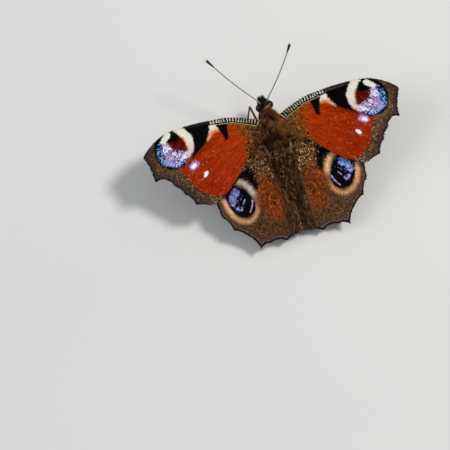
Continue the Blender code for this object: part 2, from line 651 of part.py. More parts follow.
def build_butterfly():
    remove_everything()
    root = axis_empty("butterfly", None, (0, 0, 0), (0, 0, 0))
    body = axis_empty("body_axis", root, (0, 0, ROOT_HEIGHT), (-BODY_PITCH, 0, 0))
    skull = axis_empty("head_axis", body, (0, NECK_Y, 0), (0, 0, HEAD_TURN))
    neck = axis_empty("neck_to_root", skull, (0, -NECK_Y, 0), (0, 0, 0))
    build_head(neck)
    build_thorax(body)
    build_abdomen(body)
    for side in SIDES:
        build_eye(side, neck)
        build_palp(side, neck)
        build_antenna(side, neck)
        build_foreleg(side, body)
        build_wing("fore", side, body)
        build_wing("hind", side, body)
    for name in LEGS:
        build_leg(name, root)
    centre_on_origin(root)


build_butterfly()
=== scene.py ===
"""Peacock butterfly, dressed: scaled wings, furred body, eyes, antennae and legs over the part.

Lengths are in millimetres until a mesh is written. The body frame has its origin midway between
the wing roots, +X to the butterfly's left, +Y towards its tail and +Z out of its back. Wing
patterns are laid out flat, as (out, back) points of one side.
"""

from math import cos, pi, radians, sin, tan

import bpy
import numpy as np
from mathutils import Matrix, Vector


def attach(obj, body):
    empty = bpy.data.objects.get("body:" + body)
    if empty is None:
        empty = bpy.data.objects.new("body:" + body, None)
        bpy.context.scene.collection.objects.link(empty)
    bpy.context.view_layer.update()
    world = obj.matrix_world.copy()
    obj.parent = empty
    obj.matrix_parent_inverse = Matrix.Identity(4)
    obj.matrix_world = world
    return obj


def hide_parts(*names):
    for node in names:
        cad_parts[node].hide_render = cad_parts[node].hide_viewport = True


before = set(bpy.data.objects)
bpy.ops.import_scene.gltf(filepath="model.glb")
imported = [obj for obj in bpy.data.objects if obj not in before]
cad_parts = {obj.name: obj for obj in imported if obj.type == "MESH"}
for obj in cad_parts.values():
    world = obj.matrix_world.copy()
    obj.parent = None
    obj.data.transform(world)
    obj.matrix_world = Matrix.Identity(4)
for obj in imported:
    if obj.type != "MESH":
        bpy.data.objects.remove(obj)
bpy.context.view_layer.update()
MM = 0.001


# The camera looks down on the open wings from behind and a little to the butterfly's right, at
# the photograph's angle: the butterfly was turned to stand level, and the camera with it.
BODY_PITCH = radians(8.0)
BODY_PLACE = np.array((-0.4192, -3.7499, 7.6))
VIEW_YAW, VIEW_PITCH, VIEW_ROLL = radians(-6.5), radians(-15.5), radians(18.6)
VIEW_DISTANCE = 600.0
VIEW_WIDTH = 101.25
VIEW_OFFSET = (10.82, 21.69)  # the wing roots, right of and above the picture's middle


def turned(vectors):
    """Body-frame vectors in the world: tipped about X so that the head is up."""
    x, y, z = np.moveaxis(np.asarray(vectors, float), -1, 0)
    c, s = cos(BODY_PITCH), sin(BODY_PITCH)
    return np.stack([x, y * c + z * s, z * c - y * s], -1)


def to_world(points):
    """Body-frame points in the world, still in millimetres."""
    return turned(points) + BODY_PLACE


def unit(vectors):
    """The vectors at length 1."""
    return vectors / np.maximum(np.linalg.norm(vectors, axis=-1, keepdims=True), 1e-9)


towards = np.array((sin(VIEW_YAW), sin(VIEW_PITCH), 0.0))
towards[2] = np.sqrt(1 - towards @ towards)
ahead = unit(np.array((0.0, 1.0, 0.0)) - towards[1] * towards)
right = np.cross(ahead, towards)
screen_right = cos(VIEW_ROLL) * right - sin(VIEW_ROLL) * ahead
screen_up = sin(VIEW_ROLL) * right + cos(VIEW_ROLL) * ahead
mirror = np.array((-1.0, -1.0, 1.0))  # the butterfly's right and head are -X and -Y
VIEW_BACK, VIEW_RIGHT, VIEW_UP = (turned(v * mirror) for v in (towards, screen_right, screen_up))

eye_point = BODY_PLACE + VIEW_DISTANCE * VIEW_BACK
looked_at = BODY_PLACE - VIEW_OFFSET[0] * VIEW_RIGHT - VIEW_OFFSET[1] * VIEW_UP
back = unit(eye_point - looked_at)
up = unit(VIEW_UP - back * (VIEW_UP @ back))
camera_data = bpy.data.cameras.new("camera")
camera_data.lens = camera_data.sensor_width * VIEW_DISTANCE / VIEW_WIDTH
camera = bpy.data.objects.new("camera", camera_data)
camera.matrix_world = Matrix.Translation(Vector(eye_point) * MM) @ Matrix(
    np.stack([np.cross(up, back), up, back], -1).tolist()).to_4x4()
bpy.context.scene.collection.objects.link(camera)
bpy.context.scene.camera = camera


# The stage: a pale floor, a soft key light from the picture's upper right, a broad fill from the
# left, and an even pale sky.
FLOOR_REACH = 900.0
SKY_COLOUR, SKY_STRENGTH = (0.90, 0.94, 1.0, 1.0), 0.42


def lamp(name, place, size, power, colour):
    """A round soft lamp at a place in millimetres from the body, aimed at it."""
    light = bpy.data.lights.new(name, "AREA")
    light.shape = "DISK"
    light.size = size
    light.energy = power
    light.color = colour
    obj = bpy.data.objects.new(name, light)
    aim = Vector(-place).to_track_quat("-Z", "Y").to_matrix().to_4x4()
    obj.matrix_world = Matrix.Translation((BODY_PLACE + place) * MM) @ aim
    bpy.context.scene.collection.objects.link(obj)


lamp("key", 380 * VIEW_RIGHT + 330 * VIEW_UP + 480 * VIEW_BACK,
     size=0.16, power=3.6, colour=(1.0, 0.97, 0.92))
lamp("fill", -520 * VIEW_RIGHT + 60 * VIEW_UP + 420 * VIEW_BACK,
     size=0.5, power=1.5, colour=(0.93, 0.96, 1.0))
sky = bpy.data.worlds.new("sky")
sky.use_nodes = True
sky.node_tree.nodes["Background"].inputs["Color"].default_value = SKY_COLOUR
sky.node_tree.nodes["Background"].inputs["Strength"].default_value = SKY_STRENGTH
bpy.context.scene.world = sky
bpy.context.scene.view_settings.view_transform = "Standard"


def new_material(name, roughness, **constants):
    """A Principled material with these constant sockets, and its node tree and shader."""
    material = bpy.data.materials.new(name)
    material.use_nodes = True
    tree = material.node_tree
    shader = tree.nodes["Principled BSDF"]
    shader.inputs["Roughness"].default_value = roughness
    for socket, value in constants.items():
        shader.inputs[socket.replace("_", " ")].default_value = value
    return material, tree, shader


def add_node(tree, kind, inputs=None, **settings):
    """A node whose inputs are linked where they are given as sockets, and otherwise set."""
    node = tree.nodes.new(kind)
    for key, value in settings.items():
        setattr(node, key, value)
    for key, value in (inputs or {}).items():
        if isinstance(value, bpy.types.NodeSocket):
            tree.links.new(value, node.inputs[key])
        else:
            node.inputs[key].default_value = value
    return node


def build_mesh(name, points, faces, smooth=True):
    """One object whose mesh has these points, in world millimetres, and these equal-sided faces."""
    mesh = bpy.data.meshes.new(name)
    faces = np.ascontiguousarray(faces, np.int32)
    mesh.vertices.add(len(points))
    mesh.vertices.foreach_set("co", np.ravel(np.asarray(points) * MM).astype(np.float32))
    mesh.loops.add(faces.size)
    mesh.loops.foreach_set("vertex_index", faces.ravel())
    mesh.polygons.add(len(faces))
    mesh.polygons.foreach_set(
        "loop_start", np.arange(0, faces.size, faces.shape[1], dtype=np.int32))
    mesh.polygons.foreach_set("use_smooth", np.full(len(faces), smooth))
    mesh.update(calc_edges=True)
    obj = bpy.data.objects.new(name, mesh)
    bpy.context.scene.collection.objects.link(obj)
    return obj


def split_quads(quads):
    """Each four-sided face as two triangles."""
    quads = quads.reshape(-1, 4)
    return np.concatenate([quads[:, [0, 1, 2]], quads[:, [0, 2, 3]]])


floor_material, tree, shader = new_material("floor_plaster", 0.9)
coordinates = add_node(tree, "ShaderNodeTexCoord")
cloud = add_node(
    tree, "ShaderNodeTexNoise", {"Vector": coordinates.outputs["Object"], "Scale": 9.0})
tone = add_node(tree, "ShaderNodeValToRGB", {"Fac": cloud.outputs["Fac"]})
tone.color_ramp.elements[0].color = (0.60, 0.60, 0.58, 1.0)
tone.color_ramp.elements[1].color = (0.66, 0.655, 0.64, 1.0)
tree.links.new(tone.outputs["Color"], shader.inputs["Base Color"])
floor_corners = FLOOR_REACH * np.array(((-1, -1, 0), (1, -1, 0), (1, 1, 0), (-1, 1, 0)))
floor = build_mesh("floor", floor_corners, np.array(((0, 1, 2, 3),)), smooth=False)
floor.data.materials.append(floor_material)


# The fore wings: thin membranes stretched over raised veins, swept and lifted from the thorax.
# Each is one closed skin that thins to its margin, with both faces clothed in scales.
WING_DIHEDRAL = {"fore": radians(8.0), "hind": radians(7.0)}
WING_ROOT_Z = {"fore": 0.45, "hind": -0.75}
WING_ROOT = {"fore": (2.3, -0.9), "hind": (2.3, 1.5)}
WING_DROOP = 0.0015
SIDES = {"left": 1.0, "right": -1.0}
SWEEP = {"left": radians(1.4), "right": radians(-1.4)}
REACH = {"fore": {"left": 1.015, "right": 0.985}, "hind": {"left": 0.99, "right": 0.99}}
CORNER_SHIFT = {"left": (0.0, 0.0), "right": (-0.65, 0.2)}
CORNER_START, CORNER_ROOM = (25.5, 0.5), (3.0, 4.0)
SKIN_HALF_THICKNESS = 0.07
SKIN_RINGS, RING_CROWDING, MARGIN_TAPER = 75, 0.9, 14.0
SKIN_SHADE = 0.85  # of the membrane's colours against its scales'
VEIN_SWELL, VEIN_HALF_WIDTH, VEIN_LINE = 0.06, 0.2, 0.1
PLEAT_HEIGHT, PLEAT_LENGTH = 0.05, 2.6
UPPER_SCALES, LOWER_SCALES = (0.15, 0.12), (0.26, 0.2)  # the spacing of scales along and across
SCALE_LENGTH, SCALE_WIDTH = 1.75, 1.35  # as shares of that spacing
FORE_COSTA = ((2.0, -2.2), (4.0, -3.25), (8.6, -4.7), (13.5, -5.1), (17.5, -5.1), (21.0, -4.85),
              (24.0, -4.2), (26.4, -3.0), (28.2, -1.6))
FORE_TIPS = ((29.5, -0.3), (28.5, 5.75), (25.8, 5.95), (24.65, 7.6), (22.8, 10.0), (21.15, 12.8),
             (17.75, 13.9))
FORE_SAGS = (0.35, 0.5, 0.3, 0.3, 0.35, 0.15)
FORE_DORSUM = ((13.0, 11.0), (8.0, 6.0), (5.0, 2.6), (2.0, 0.4))
FORE_VEINS = (
    ((3.1, -1.9), (6.5, -3.2), (11.0, -4.2), (14.6, -4.7)),
    ((3.1, -0.6), (8.0, -1.7), (13.9, -1.7), (19.0, -2.1), (24.5, -1.5), (29.0, -0.7)),
    ((10.5, -1.95), (15.5, -3.6), (19.4, -4.8)),
    ((13.9, -1.7), (18.5, -3.5), (22.8, -4.3)),
    ((19.0, -2.1), (22.5, -3.3), (25.6, -3.4)),
    ((14.3, -1.1), (21.5, 1.2), (28.2, 5.4)),
    ((14.6, 0.7), (20.0, 3.2), (25.3, 5.8)),
    ((14.2, 2.9), (19.5, 5.4), (24.2, 7.4)),
    ((12.6, 3.0), (17.5, 7.2), (22.4, 9.7)),
    ((9.0, 2.2), (14.5, 7.7), (20.8, 12.5)),
    ((3.2, 0.2), (9.0, 5.1), (14.0, 10.2), (17.0, 13.2)),
    ((4.6, -0.75), (9.0, 2.2), (12.6, 3.0), (14.2, 2.9)),
    ((13.9, -1.7), (14.3, -1.1), (14.6, 0.7), (14.2, 2.9)),
)
# The hind wing's inner edge and the valley's floor beside it, as (back, out) and (back, height).
HIND_EDGE = (
    (1.0, 2.3), (3.9, 1.8), (4.6, 1.6), (5.5, 1.75), (7.0, 1.85), (9.0, 1.85), (11.0, 1.75),
    (13.0, 1.5), (14.5, 1.1), (16.0, 0.5), (16.8, 0.1), (17.5, 0.02), (24.5, 0.02))
VALLEY = ((4.0, -0.85), (6.0, -1.1), (9.0, -1.4), (12.0, -1.8), (15.0, -2.2), (17.5, -2.5),
          (24.5, -2.3))
VALLEY_START, VALLEY_WIDTH = 3.9, 1.8


def smooth_curve(points, steps):
    """A Catmull-Rom curve through the points, with this many steps between two of them."""
    points = np.asarray(points, float)
    ends = np.vstack([2 * points[0] - points[1], points, 2 * points[-1] - points[-2]])
    share = np.linspace(0.0, 1.0, steps, endpoint=False)[None, :, None]
    a, b, c, d = (ends[i:len(ends) - 3 + i, None] for i in range(4))
    runs = 0.5 * (2 * b + (c - a) * share + (2 * a - 5 * b + 4 * c - d) * share**2
                  + (3 * b - a - 3 * c + d) * share**3)
    return np.vstack([runs.reshape(-1, points.shape[1]), points[-1:]])


def scalloped(tips, sags, steps):
    """The margin: from each vein tip to the next a parabola that sags towards the wing's middle."""
    tips = np.asarray(tips, float)
    share = np.linspace(0.0, 1.0, steps, endpoint=False)[None, :, None]
    a, b = tips[:-1, None], tips[1:, None]
    inwards = unit(np.stack([b[..., 1] - a[..., 1], a[..., 0] - b[..., 0]], -1))
    middle = tips.mean(axis=0) * (0.5, 0.8)
    inwards = inwards * np.sign(((middle - a) * inwards).sum(-1, keepdims=True))
    dips = inwards * np.reshape(sags, (-1, 1, 1)) * 4 * share * (1 - share)
    return np.vstack([(a + (b - a) * share + dips).reshape(-1, 2), tips[-1:]])


def posed(points, wing, side):
    """Flat wing points swept forwards and stretched about the wing's root, after the fore wing's
    lower tip corner is shifted, by a share that rises smoothly outwards and back."""
    points = np.asarray(points, float)
    if wing == "fore":
        share = np.clip((points - CORNER_START) / CORNER_ROOM, 0, 1)
        share = share * share * (3 - 2 * share)
        points = points + share.prod(axis=-1, keepdims=True) * CORNER_SHIFT[side]
    turn = -SWEEP[side]
    spin = np.array([[cos(turn), -sin(turn)], [sin(turn), cos(turn)]])
    root = np.array(WING_ROOT[wing])
    return (points - root) @ spin.T * (REACH[wing][side], 1.0) + root


def bell(*gaps):
    """A bell curve: 1 where all gaps are 0, else e to the minus the sum of their squares."""
    return np.exp(-sum(gap**2 for gap in gaps))


def wing_height(wing, out, back):
    """The middle surface: a plane raised by the dihedral, a fall with the square of the distance
    back, and on the hind wing a valley beside the abdomen that fades outwards as a bell curve."""
    def plane(at):
        rise = (at - WING_ROOT[wing][0]) * tan(WING_DIHEDRAL[wing])
        return WING_ROOT_Z[wing] + rise - WING_DROOP * np.maximum(back, 0.0) ** 2
    height = plane(out)
    if wing == "hind":
        edge = np.interp(back, *np.transpose(HIND_EDGE))
        dip = np.interp(back, *np.transpose(VALLEY)) - plane(edge)
        dip = dip * np.clip((back - VALLEY_START) / 1.5, 0, 1)
        height = height + dip * bell((out - edge) / VALLEY_WIDTH)
    return height


def distance_to(points, path):
    """Each point's distance to a line of straight pieces."""
    a, b = path[:-1], path[1:]
    along = b - a
    share = ((points[:, None] - a) * along).sum(-1) / np.maximum((along**2).sum(-1), 1e-9)
    nearest = a + np.clip(share, 0, 1)[..., None] * along
    return np.linalg.norm(points[:, None] - nearest, axis=-1).min(axis=1)


def inside(points, outline):
    """Which points lie inside a closed outline, by counting the edges that a ray crosses."""
    x, y = points[:, 0, None], points[:, 1, None]
    a, b = outline, np.roll(outline, -1, axis=0)
    spans = (a[:, 1] > y) != (b[:, 1] > y)
    rise = np.where(b[:, 1] == a[:, 1], 1.0, b[:, 1] - a[:, 1])
    return (spans & (x < a[:, 0] + (y - a[:, 1]) * (b[:, 0] - a[:, 0]) / rise)).sum(axis=1) % 2 == 1


def grain(points, size, seed):
    """Smooth random values from 0 to 1: a seeded table on a lattice, blended between its points."""
    table = np.random.default_rng(seed).random((64, 64))
    place = np.asarray(points) / size
    cell = np.floor(place).astype(int)
    share = place - cell
    share = share * share * (3 - 2 * share)
    i, j = cell[:, 0] % 64, cell[:, 1] % 64
    m, n = (i + 1) % 64, (j + 1) % 64
    near = table[i, j] * (1 - share[:, 0]) + table[m, j] * share[:, 0]
    far = table[i, n] * (1 - share[:, 0]) + table[m, n] * share[:, 0]
    return near * (1 - share[:, 1]) + far * share[:, 1]


def vein_ridge(points, veins, half_width):
    """A bell-shaped share of 1 on a vein's line, over this half width."""
    near = np.min([distance_to(points, smooth_curve(vein, 4)) for vein in veins], axis=0)
    return bell(near / half_width)


def wing_surface(flat, wing, side, lift=0.0):
    """Flat points on the wing in the world, lifted off its middle surface along Z of the body."""
    out, rear = posed(flat, wing, side).T
    pleat = PLEAT_HEIGHT * np.sin(grain(flat, PLEAT_LENGTH, 5) * 2 * pi)
    height = wing_height(wing, out, rear) + pleat + lift
    return to_world(np.stack([SIDES[side] * out, rear, height], -1))


def wing_frame(flat, ahead, wing, side):
    """Roots on the wing in the world, unit vectors ahead along it, and normals that point up."""
    roots = wing_surface(flat, wing, side)
    beside = np.stack([-ahead[:, 1], ahead[:, 0]], -1)
    lay, across = (unit(wing_surface(flat + way * 0.1, wing, side) - roots)
                   for way in (ahead, beside))
    normals = unit(np.cross(lay, across))
    return roots, lay, normals * np.sign(normals[:, 2:])


def wing_share(flat, outline):
    """Flat points as shares of the longer side of the outline's box, which unwrap the wing."""
    low = outline.min(axis=0)
    return (flat - low) / ((outline.max(axis=0) - low).max() * 1.02)


FORE_OUTLINE = np.vstack([
    smooth_curve((*FORE_COSTA, FORE_TIPS[0]), 14)[:-1], scalloped(FORE_TIPS, FORE_SAGS, 14)[:-1],
    smooth_curve((FORE_TIPS[-1], *FORE_DORSUM), 18)[:-1],
    np.linspace(FORE_DORSUM[-1], FORE_COSTA[0], 10)[:-1]])
FORE_MIDDLE = (16.0, 2.0)


def linear(red, green, blue):
    """A colour seen on a screen, 0 to 255, as linear light."""
    value = np.array((red, green, blue)) / 255
    return np.where(value <= 0.04045, value / 12.92, ((value + 0.055) / 1.055) ** 2.4)


def looped(outline):
    """An outline that ends where it starts."""
    return np.vstack([outline, outline[:1]])


def spot(points, outline, edge=0.12, ragged=0.12, seed=1):
    """A share of 1 inside a smooth closed outline, with an edge uneven by a few scales."""
    loop = smooth_curve(looped(outline), 3)
    away = distance_to(points, loop) * np.where(inside(points, loop[:-1]), -1, 1)
    away = away + ragged * (grain(points, 0.3, seed) * 2 - 1)
    away = away + 0.5 * ragged * (grain(points, 0.13, seed + 7) * 2 - 1)
    return np.clip(0.5 - away / edge, 0, 1)


def line(points, path, half_width, edge=0.1, seed=2):
    """A share of 1 within half a width of a smooth path, tapered to its ends."""
    course = smooth_curve(path, 4)
    away = distance_to(points, course) + 0.06 * (grain(points, 0.3, seed) * 2 - 1)
    return np.clip(0.5 + (half_width - away) / edge, 0, 1)


def paint(colour, share, new, strength=1.0):
    """A colour laid over another by a share for each point."""
    share = np.reshape(share * strength, (-1, 1))
    return colour * (1 - share) + np.asarray(new) * share


def step(low, high, value):
    """A smooth rise from 0 at low to 1 at high."""
    share = np.clip((value - low) / (high - low), 0, 1)
    return share * share * (3 - 2 * share)


def between(value, *marks):
    """A smooth rise from 0 to 1 between two marks, and a fall to 0 between two more."""
    return step(*marks[:2], value) * (1 - step(*marks[2:], value))


BLACK = linear(3, 3, 5)
CREAM = linear(238, 236, 224)


def flecks(points, size, seed):
    """Two random values for each fleck, a clump of scales: cells of a lattice that wavers."""
    waver = np.stack([grain(points, size * 1.4, seed + k) for k in (1, 2)], -1) - 0.5
    cell = np.floor(np.asarray(points) / size + 1.3 * waver).astype(int) % 64
    return np.random.default_rng(seed).random((64, 64, 2))[cell[:, 0], cell[:, 1]]


def mosaic(points, size, seed, *choices):
    """A colour for each point: its fleck takes one of the choices, each a share and a colour."""
    shares = np.stack([np.broadcast_to(share, len(points)) for share, _ in choices])
    levels = np.cumsum(shares / shares.sum(axis=0), axis=0)
    draw = flecks(points, size, seed)
    picked = np.minimum((draw[:, 0] >= levels).sum(axis=0), len(choices) - 1)
    return np.array([tone for _, tone in choices])[picked] * (0.8 + 0.4 * draw[:, 1:])


def blend(low, high, share):
    """One colour, place or way changing to another by a share for each point."""
    return low * (1 - share)[:, None] + high * share[:, None]


def leaned(points, centre, lean):
    """How far points lie from a centre, along and across a line that leans by an angle."""
    x, y = (points - np.asarray(centre)).T
    return x * cos(lean) + y * sin(lean), y * cos(lean) - x * sin(lean)


def glow(points, centre, size, lean):
    """A soft oval of light: a bell curve with these half sizes, leaning by an angle."""
    u, v = leaned(points, centre, lean)
    return bell(u / size[0], v / size[1])


def sin_wave(cycles):
    """A sine wave by its number of cycles."""
    return np.sin(2 * pi * cycles)


def fore_ground(points, side):
    """The fore wing's ground: rust red in fine streaks that fan out from the root, deeper
    outwards, amber towards the root, and a base dusted with gold, cream and black. The right
    wing's base is brighter."""
    out, rear = points.T
    along = np.stack([np.hypot(out, rear + 4) * 0.35, np.arctan2(rear + 4, out) * 24], -1)
    streak = grain(along, 0.3, 3) * 0.6 + grain(along, 0.9, 4) * 0.4
    streaked = (0.6 + 0.8 * streak)[:, None]
    colour = blend(linear(160, 45, 0), linear(148, 37, 0), step(10, 20, out + 0.4 * rear))
    colour = colour * (0.66 + 0.68 * streak)[:, None]
    amber = 1 - step(5.0, 10.0, out + 0.25 * (rear - 1))
    colour = paint(colour, amber, linear(152, 70, 12) * streaked, 0.85)
    golden = (1 - step(4.5, 7.5, out)) * (1 - step(-0.5, 1.5, rear))
    colour = paint(colour, golden, linear(158, 104, 44) * streaked, 0.7)
    light = step(0.7, 0.9, grain(along, 0.36, 9)) * step(8, 11, out)
    colour = paint(colour, light, linear(196, 88, 44), 0.22)
    colour = paint(colour, vein_ridge(points, FORE_VEINS, VEIN_LINE), linear(62, 22, 12), 0.72)
    pale = flecks(points, 0.24, 10)
    arcs = sin_wave((np.hypot(out - 3, rear + 2) + 0.5 * grain(points, 1.2, 11)) / 2.3)
    along_veins = vein_ridge(points, FORE_VEINS, 0.16) * step(10, 13, out)
    pale = pale[:, 0] < 0.04 * step(0.4, 1.0, arcs) + 0.24 * along_veins
    pale = pale * step(8.5, 10, out) * step(0.0, 2.0, rear)
    colour = paint(colour, pale, linear(200, 108, 70), 0.6)

    reach = 5.6 + 0.4 * np.clip(rear - 1.0, 0, 6) + 1.6 * (grain(points, 1.1, 12) - 0.5)
    base = np.clip(0.5 + (reach - out) / 3.2, 0, 1)
    creamy = step(1.5, 3.5, rear - 0.2 * out) * step(0.35, 0.8, base)
    bright = 0.0 if side == "left" else 1.0
    dust = mosaic(
        points, 0.17, 13, (0.42 - 0.14 * bright, linear(12, 9, 7)), (0.2, linear(70, 44, 22)),
        (0.12 + 0.14 * bright, linear(156, 104, 46)), (0.02 + 0.1 * creamy, linear(214, 190, 146)),
        (0.24 - 0.1 * creamy, linear(150, 74, 20)))
    draw = flecks(points, 0.2, 14)[:, 0]
    colour = np.where((draw < 1.1 * base)[:, None], dust, colour)
    sparse = (flecks(points, 0.22, 16)[:, 0] < 0.3 * (1 - step(6.0, 9.5, out))) & (out > 4)
    return np.where(sparse[:, None], linear(44, 22, 10), colour)


def fore_border(points, colour, side):
    """The mottled grey-brown border, crossed by dark veins and darker along the margin, and the
    brown edge of the costa. The left wing's are darker."""
    out, rear = points.T
    border = spot(points, (
        (22.6, 4.6), (21.7, 6.0), (20.9, 7.6), (20.3, 9.2), (19.0, 10.6), (17.4, 11.8),
        (15.4, 12.4), (14.0, 12.2), (15.4, 15.5), (25.0, 15.5), (32.0, 8.0), (32.0, -4.5),
        (26.6, -5.0), (25.2, -2.6), (26.2, 0.4), (25.4, 2.6), (23.6, 3.4)), 0.35, 0.5, 21)
    mottle = grain(points, 0.5, 22)
    low = step(4.0, 9.0, rear)
    brown = mosaic(
        points, 0.19, 23, (0.32, linear(72, 50, 32)), (0.36, linear(102, 70, 46)),
        (0.2 * mottle, linear(128, 98, 68)), (0.03 + 0.2 * mottle * low, linear(172, 158, 138)),
        (0.1 + 0.14 * low, linear(28, 22, 20)))
    near = distance_to(points, np.array(((27.7, 0.2), (27.2, 2.4), (25.9, 4.2), (23.6, 4.9))))
    brown = paint(brown, bell(near / 0.45), linear(112, 82, 54), 0.55)
    brown = brown * (1 - 0.35 * step(26.5, 28.0, out))[:, None]
    brown = brown * ((0.74, 0.8, 0.72) if side == "left" else (1.06, 1.0, 0.94))
    brown = paint(brown, vein_ridge(points, FORE_VEINS, VEIN_LINE), linear(26, 20, 17), 0.6)
    colour = paint(colour, border, brown)
    edge = distance_to(points, looped(FORE_OUTLINE))
    outer = step(-6, -1, rear - 0.6 * (29 - out)) * step(17, 20, out)
    colour = paint(colour, (1 - step(0.5, 1.5, edge)) * outer, linear(58, 46, 46), 0.7)
    colour = paint(colour, (1 - step(0.12, 0.4, edge)) * outer, linear(24, 21, 26), 0.8)
    costa = spot(points, (
        (13.5, -6.2), (13.55, -3.9), (16.0, -3.9), (19.6, -3.9), (20.3, -4.7), (22.5, -4.2),
        (24.6, -3.5), (26.4, -2.4), (28.5, -2.4), (28.0, -6.5), (20.0, -7.0)), 0.2, 0.1, 25)
    grizzled = mosaic(points, 0.22, 26, (0.5, linear(42, 35, 32)), (0.3, linear(66, 55, 50)),
                      (0.2, linear(22, 18, 18)))
    rosy = mosaic(points, 0.24, 27, (0.5, linear(104, 78, 66)), (0.3, linear(142, 114, 98)),
                  (0.2, linear(58, 43, 38)))
    grizzled = grizzled * (0.5 if side == "left" else 1.6)
    colour = paint(colour, costa, blend(grizzled, rosy, step(20.5, 22.5, out)))
    return paint(colour, costa * (1 - step(0.15, 0.45, edge)), linear(38, 32, 33), 0.8)


def fore_bars(points, colour):
    """The black wedge and black patch on the costa with cream between them, and nearer to the
    root cream bars on black, square to the margin, over a pale and a dark line."""
    out, rear = points.T
    patch = ((13.7, -4.5), (13.95, -3.0), (14.5, -2.0), (15.0, -1.0), (15.7, -0.2), (16.6, 0.45),
             (17.6, 1.05), (18.7, 1.9), (19.3, 2.2), (18.9, 0.6), (18.6, -1.6), (19.2, -3.4),
             (20.0, -4.6), (17.0, -4.55))
    smoke = spot(points, ((15.5, -0.4), (17.4, 1.9), (19.4, 3.4), (20.6, 3.4), (18.6, 0.2)),
                 1.4, 0.2, 30)
    colour = paint(colour, smoke, linear(96, 18, 6), 0.6)
    colour = paint(colour, spot(points, patch, 0.18, 0.12, 31), BLACK)
    cream = ((12.2, -4.2), (13.7, -4.2), (13.9, -3.2), (14.3, -2.3), (14.85, -1.4), (15.05, -0.8),
             (14.4, -1.25), (13.6, -1.85), (12.7, -2.2), (11.9, -2.3), (12.0, -3.2))
    colour = paint(colour, spot(points, cream, 0.35, 0.15, 32), linear(214, 116, 34))
    slope = rear - 0.5 * np.clip(out - 13.4, 0, 2)
    whiter = 1 - step(-3.2, -2.4, slope + 0.35 * (grain(points, 0.3, 34) - 0.5))
    colour = paint(colour, spot(points, cream, 0.2, 0.12, 32) * whiter, linear(224, 221, 209))
    blush = line(points, ((13.7, -2.4), (14.3, -1.7), (15.0, -0.8)), 0.2, 0.35)
    colour = paint(colour, blush, linear(218, 170, 138), 0.8)
    wedge = ((9.8, -4.2), (9.85, -3.2), (10.1, -2.0), (10.25, -1.0), (10.35, -0.2), (10.7, 0.1),
             (11.15, -0.1), (11.35, -1.1), (11.7, -2.1), (12.05, -3.1), (12.2, -4.1))
    colour = paint(colour, spot(points, wedge, 0.18, 0.1, 33), BLACK)

    top = np.interp(out, (2.0, 4.0, 8.6, 13.8), (-2.2, -3.3, -4.8, -5.15))
    depth = rear - top
    slant = np.interp(out, (3.0, 7.0, 10.0, 14.0), (0.5, 0.34, 0.1, 0.0))
    deep = np.interp(out, (3.0, 6.0, 10.0, 14.0), (1.55, 1.3, 1.12, 1.0))
    striped = between(out, 2.5, 3.0, 13.6, 13.8) * (1 - step(deep - 0.05, deep + 0.05, depth))
    wave = sin_wave((out - slant * depth + 0.34 * (grain(points, 1.3, 41) - 0.5)) / 0.62)
    colour = paint(colour, striped, linear(8, 7, 7))
    bars = step(0.55, 0.8, wave + 0.3 * (grain(points, 0.4, 42) - 0.5))
    bars = striped * bars * (1 - step(deep - 0.34, deep - 0.2, depth))
    colour = paint(colour, bars, blend(linear(196, 188, 150), CREAM, step(4, 9, out)))
    lines = step(3.0, 4.0, out)
    for place, width, tone, last in ((0.1, 0.05, linear(196, 182, 138), 13.0),
                                     (0.27, 0.075, BLACK, 10.0),
                                     (0.44, 0.04, linear(130, 122, 96), 9.9)):
        near = 1 - step(width - 0.02, width + 0.04, np.abs(depth - deep - place))
        colour = paint(colour, lines * near * (1 - step(last - 0.4, last, out)), tone, 0.9)
    return colour


STREAK_WAY = (0.61, 0.79)  # out and back along the fore eyespot's streaks


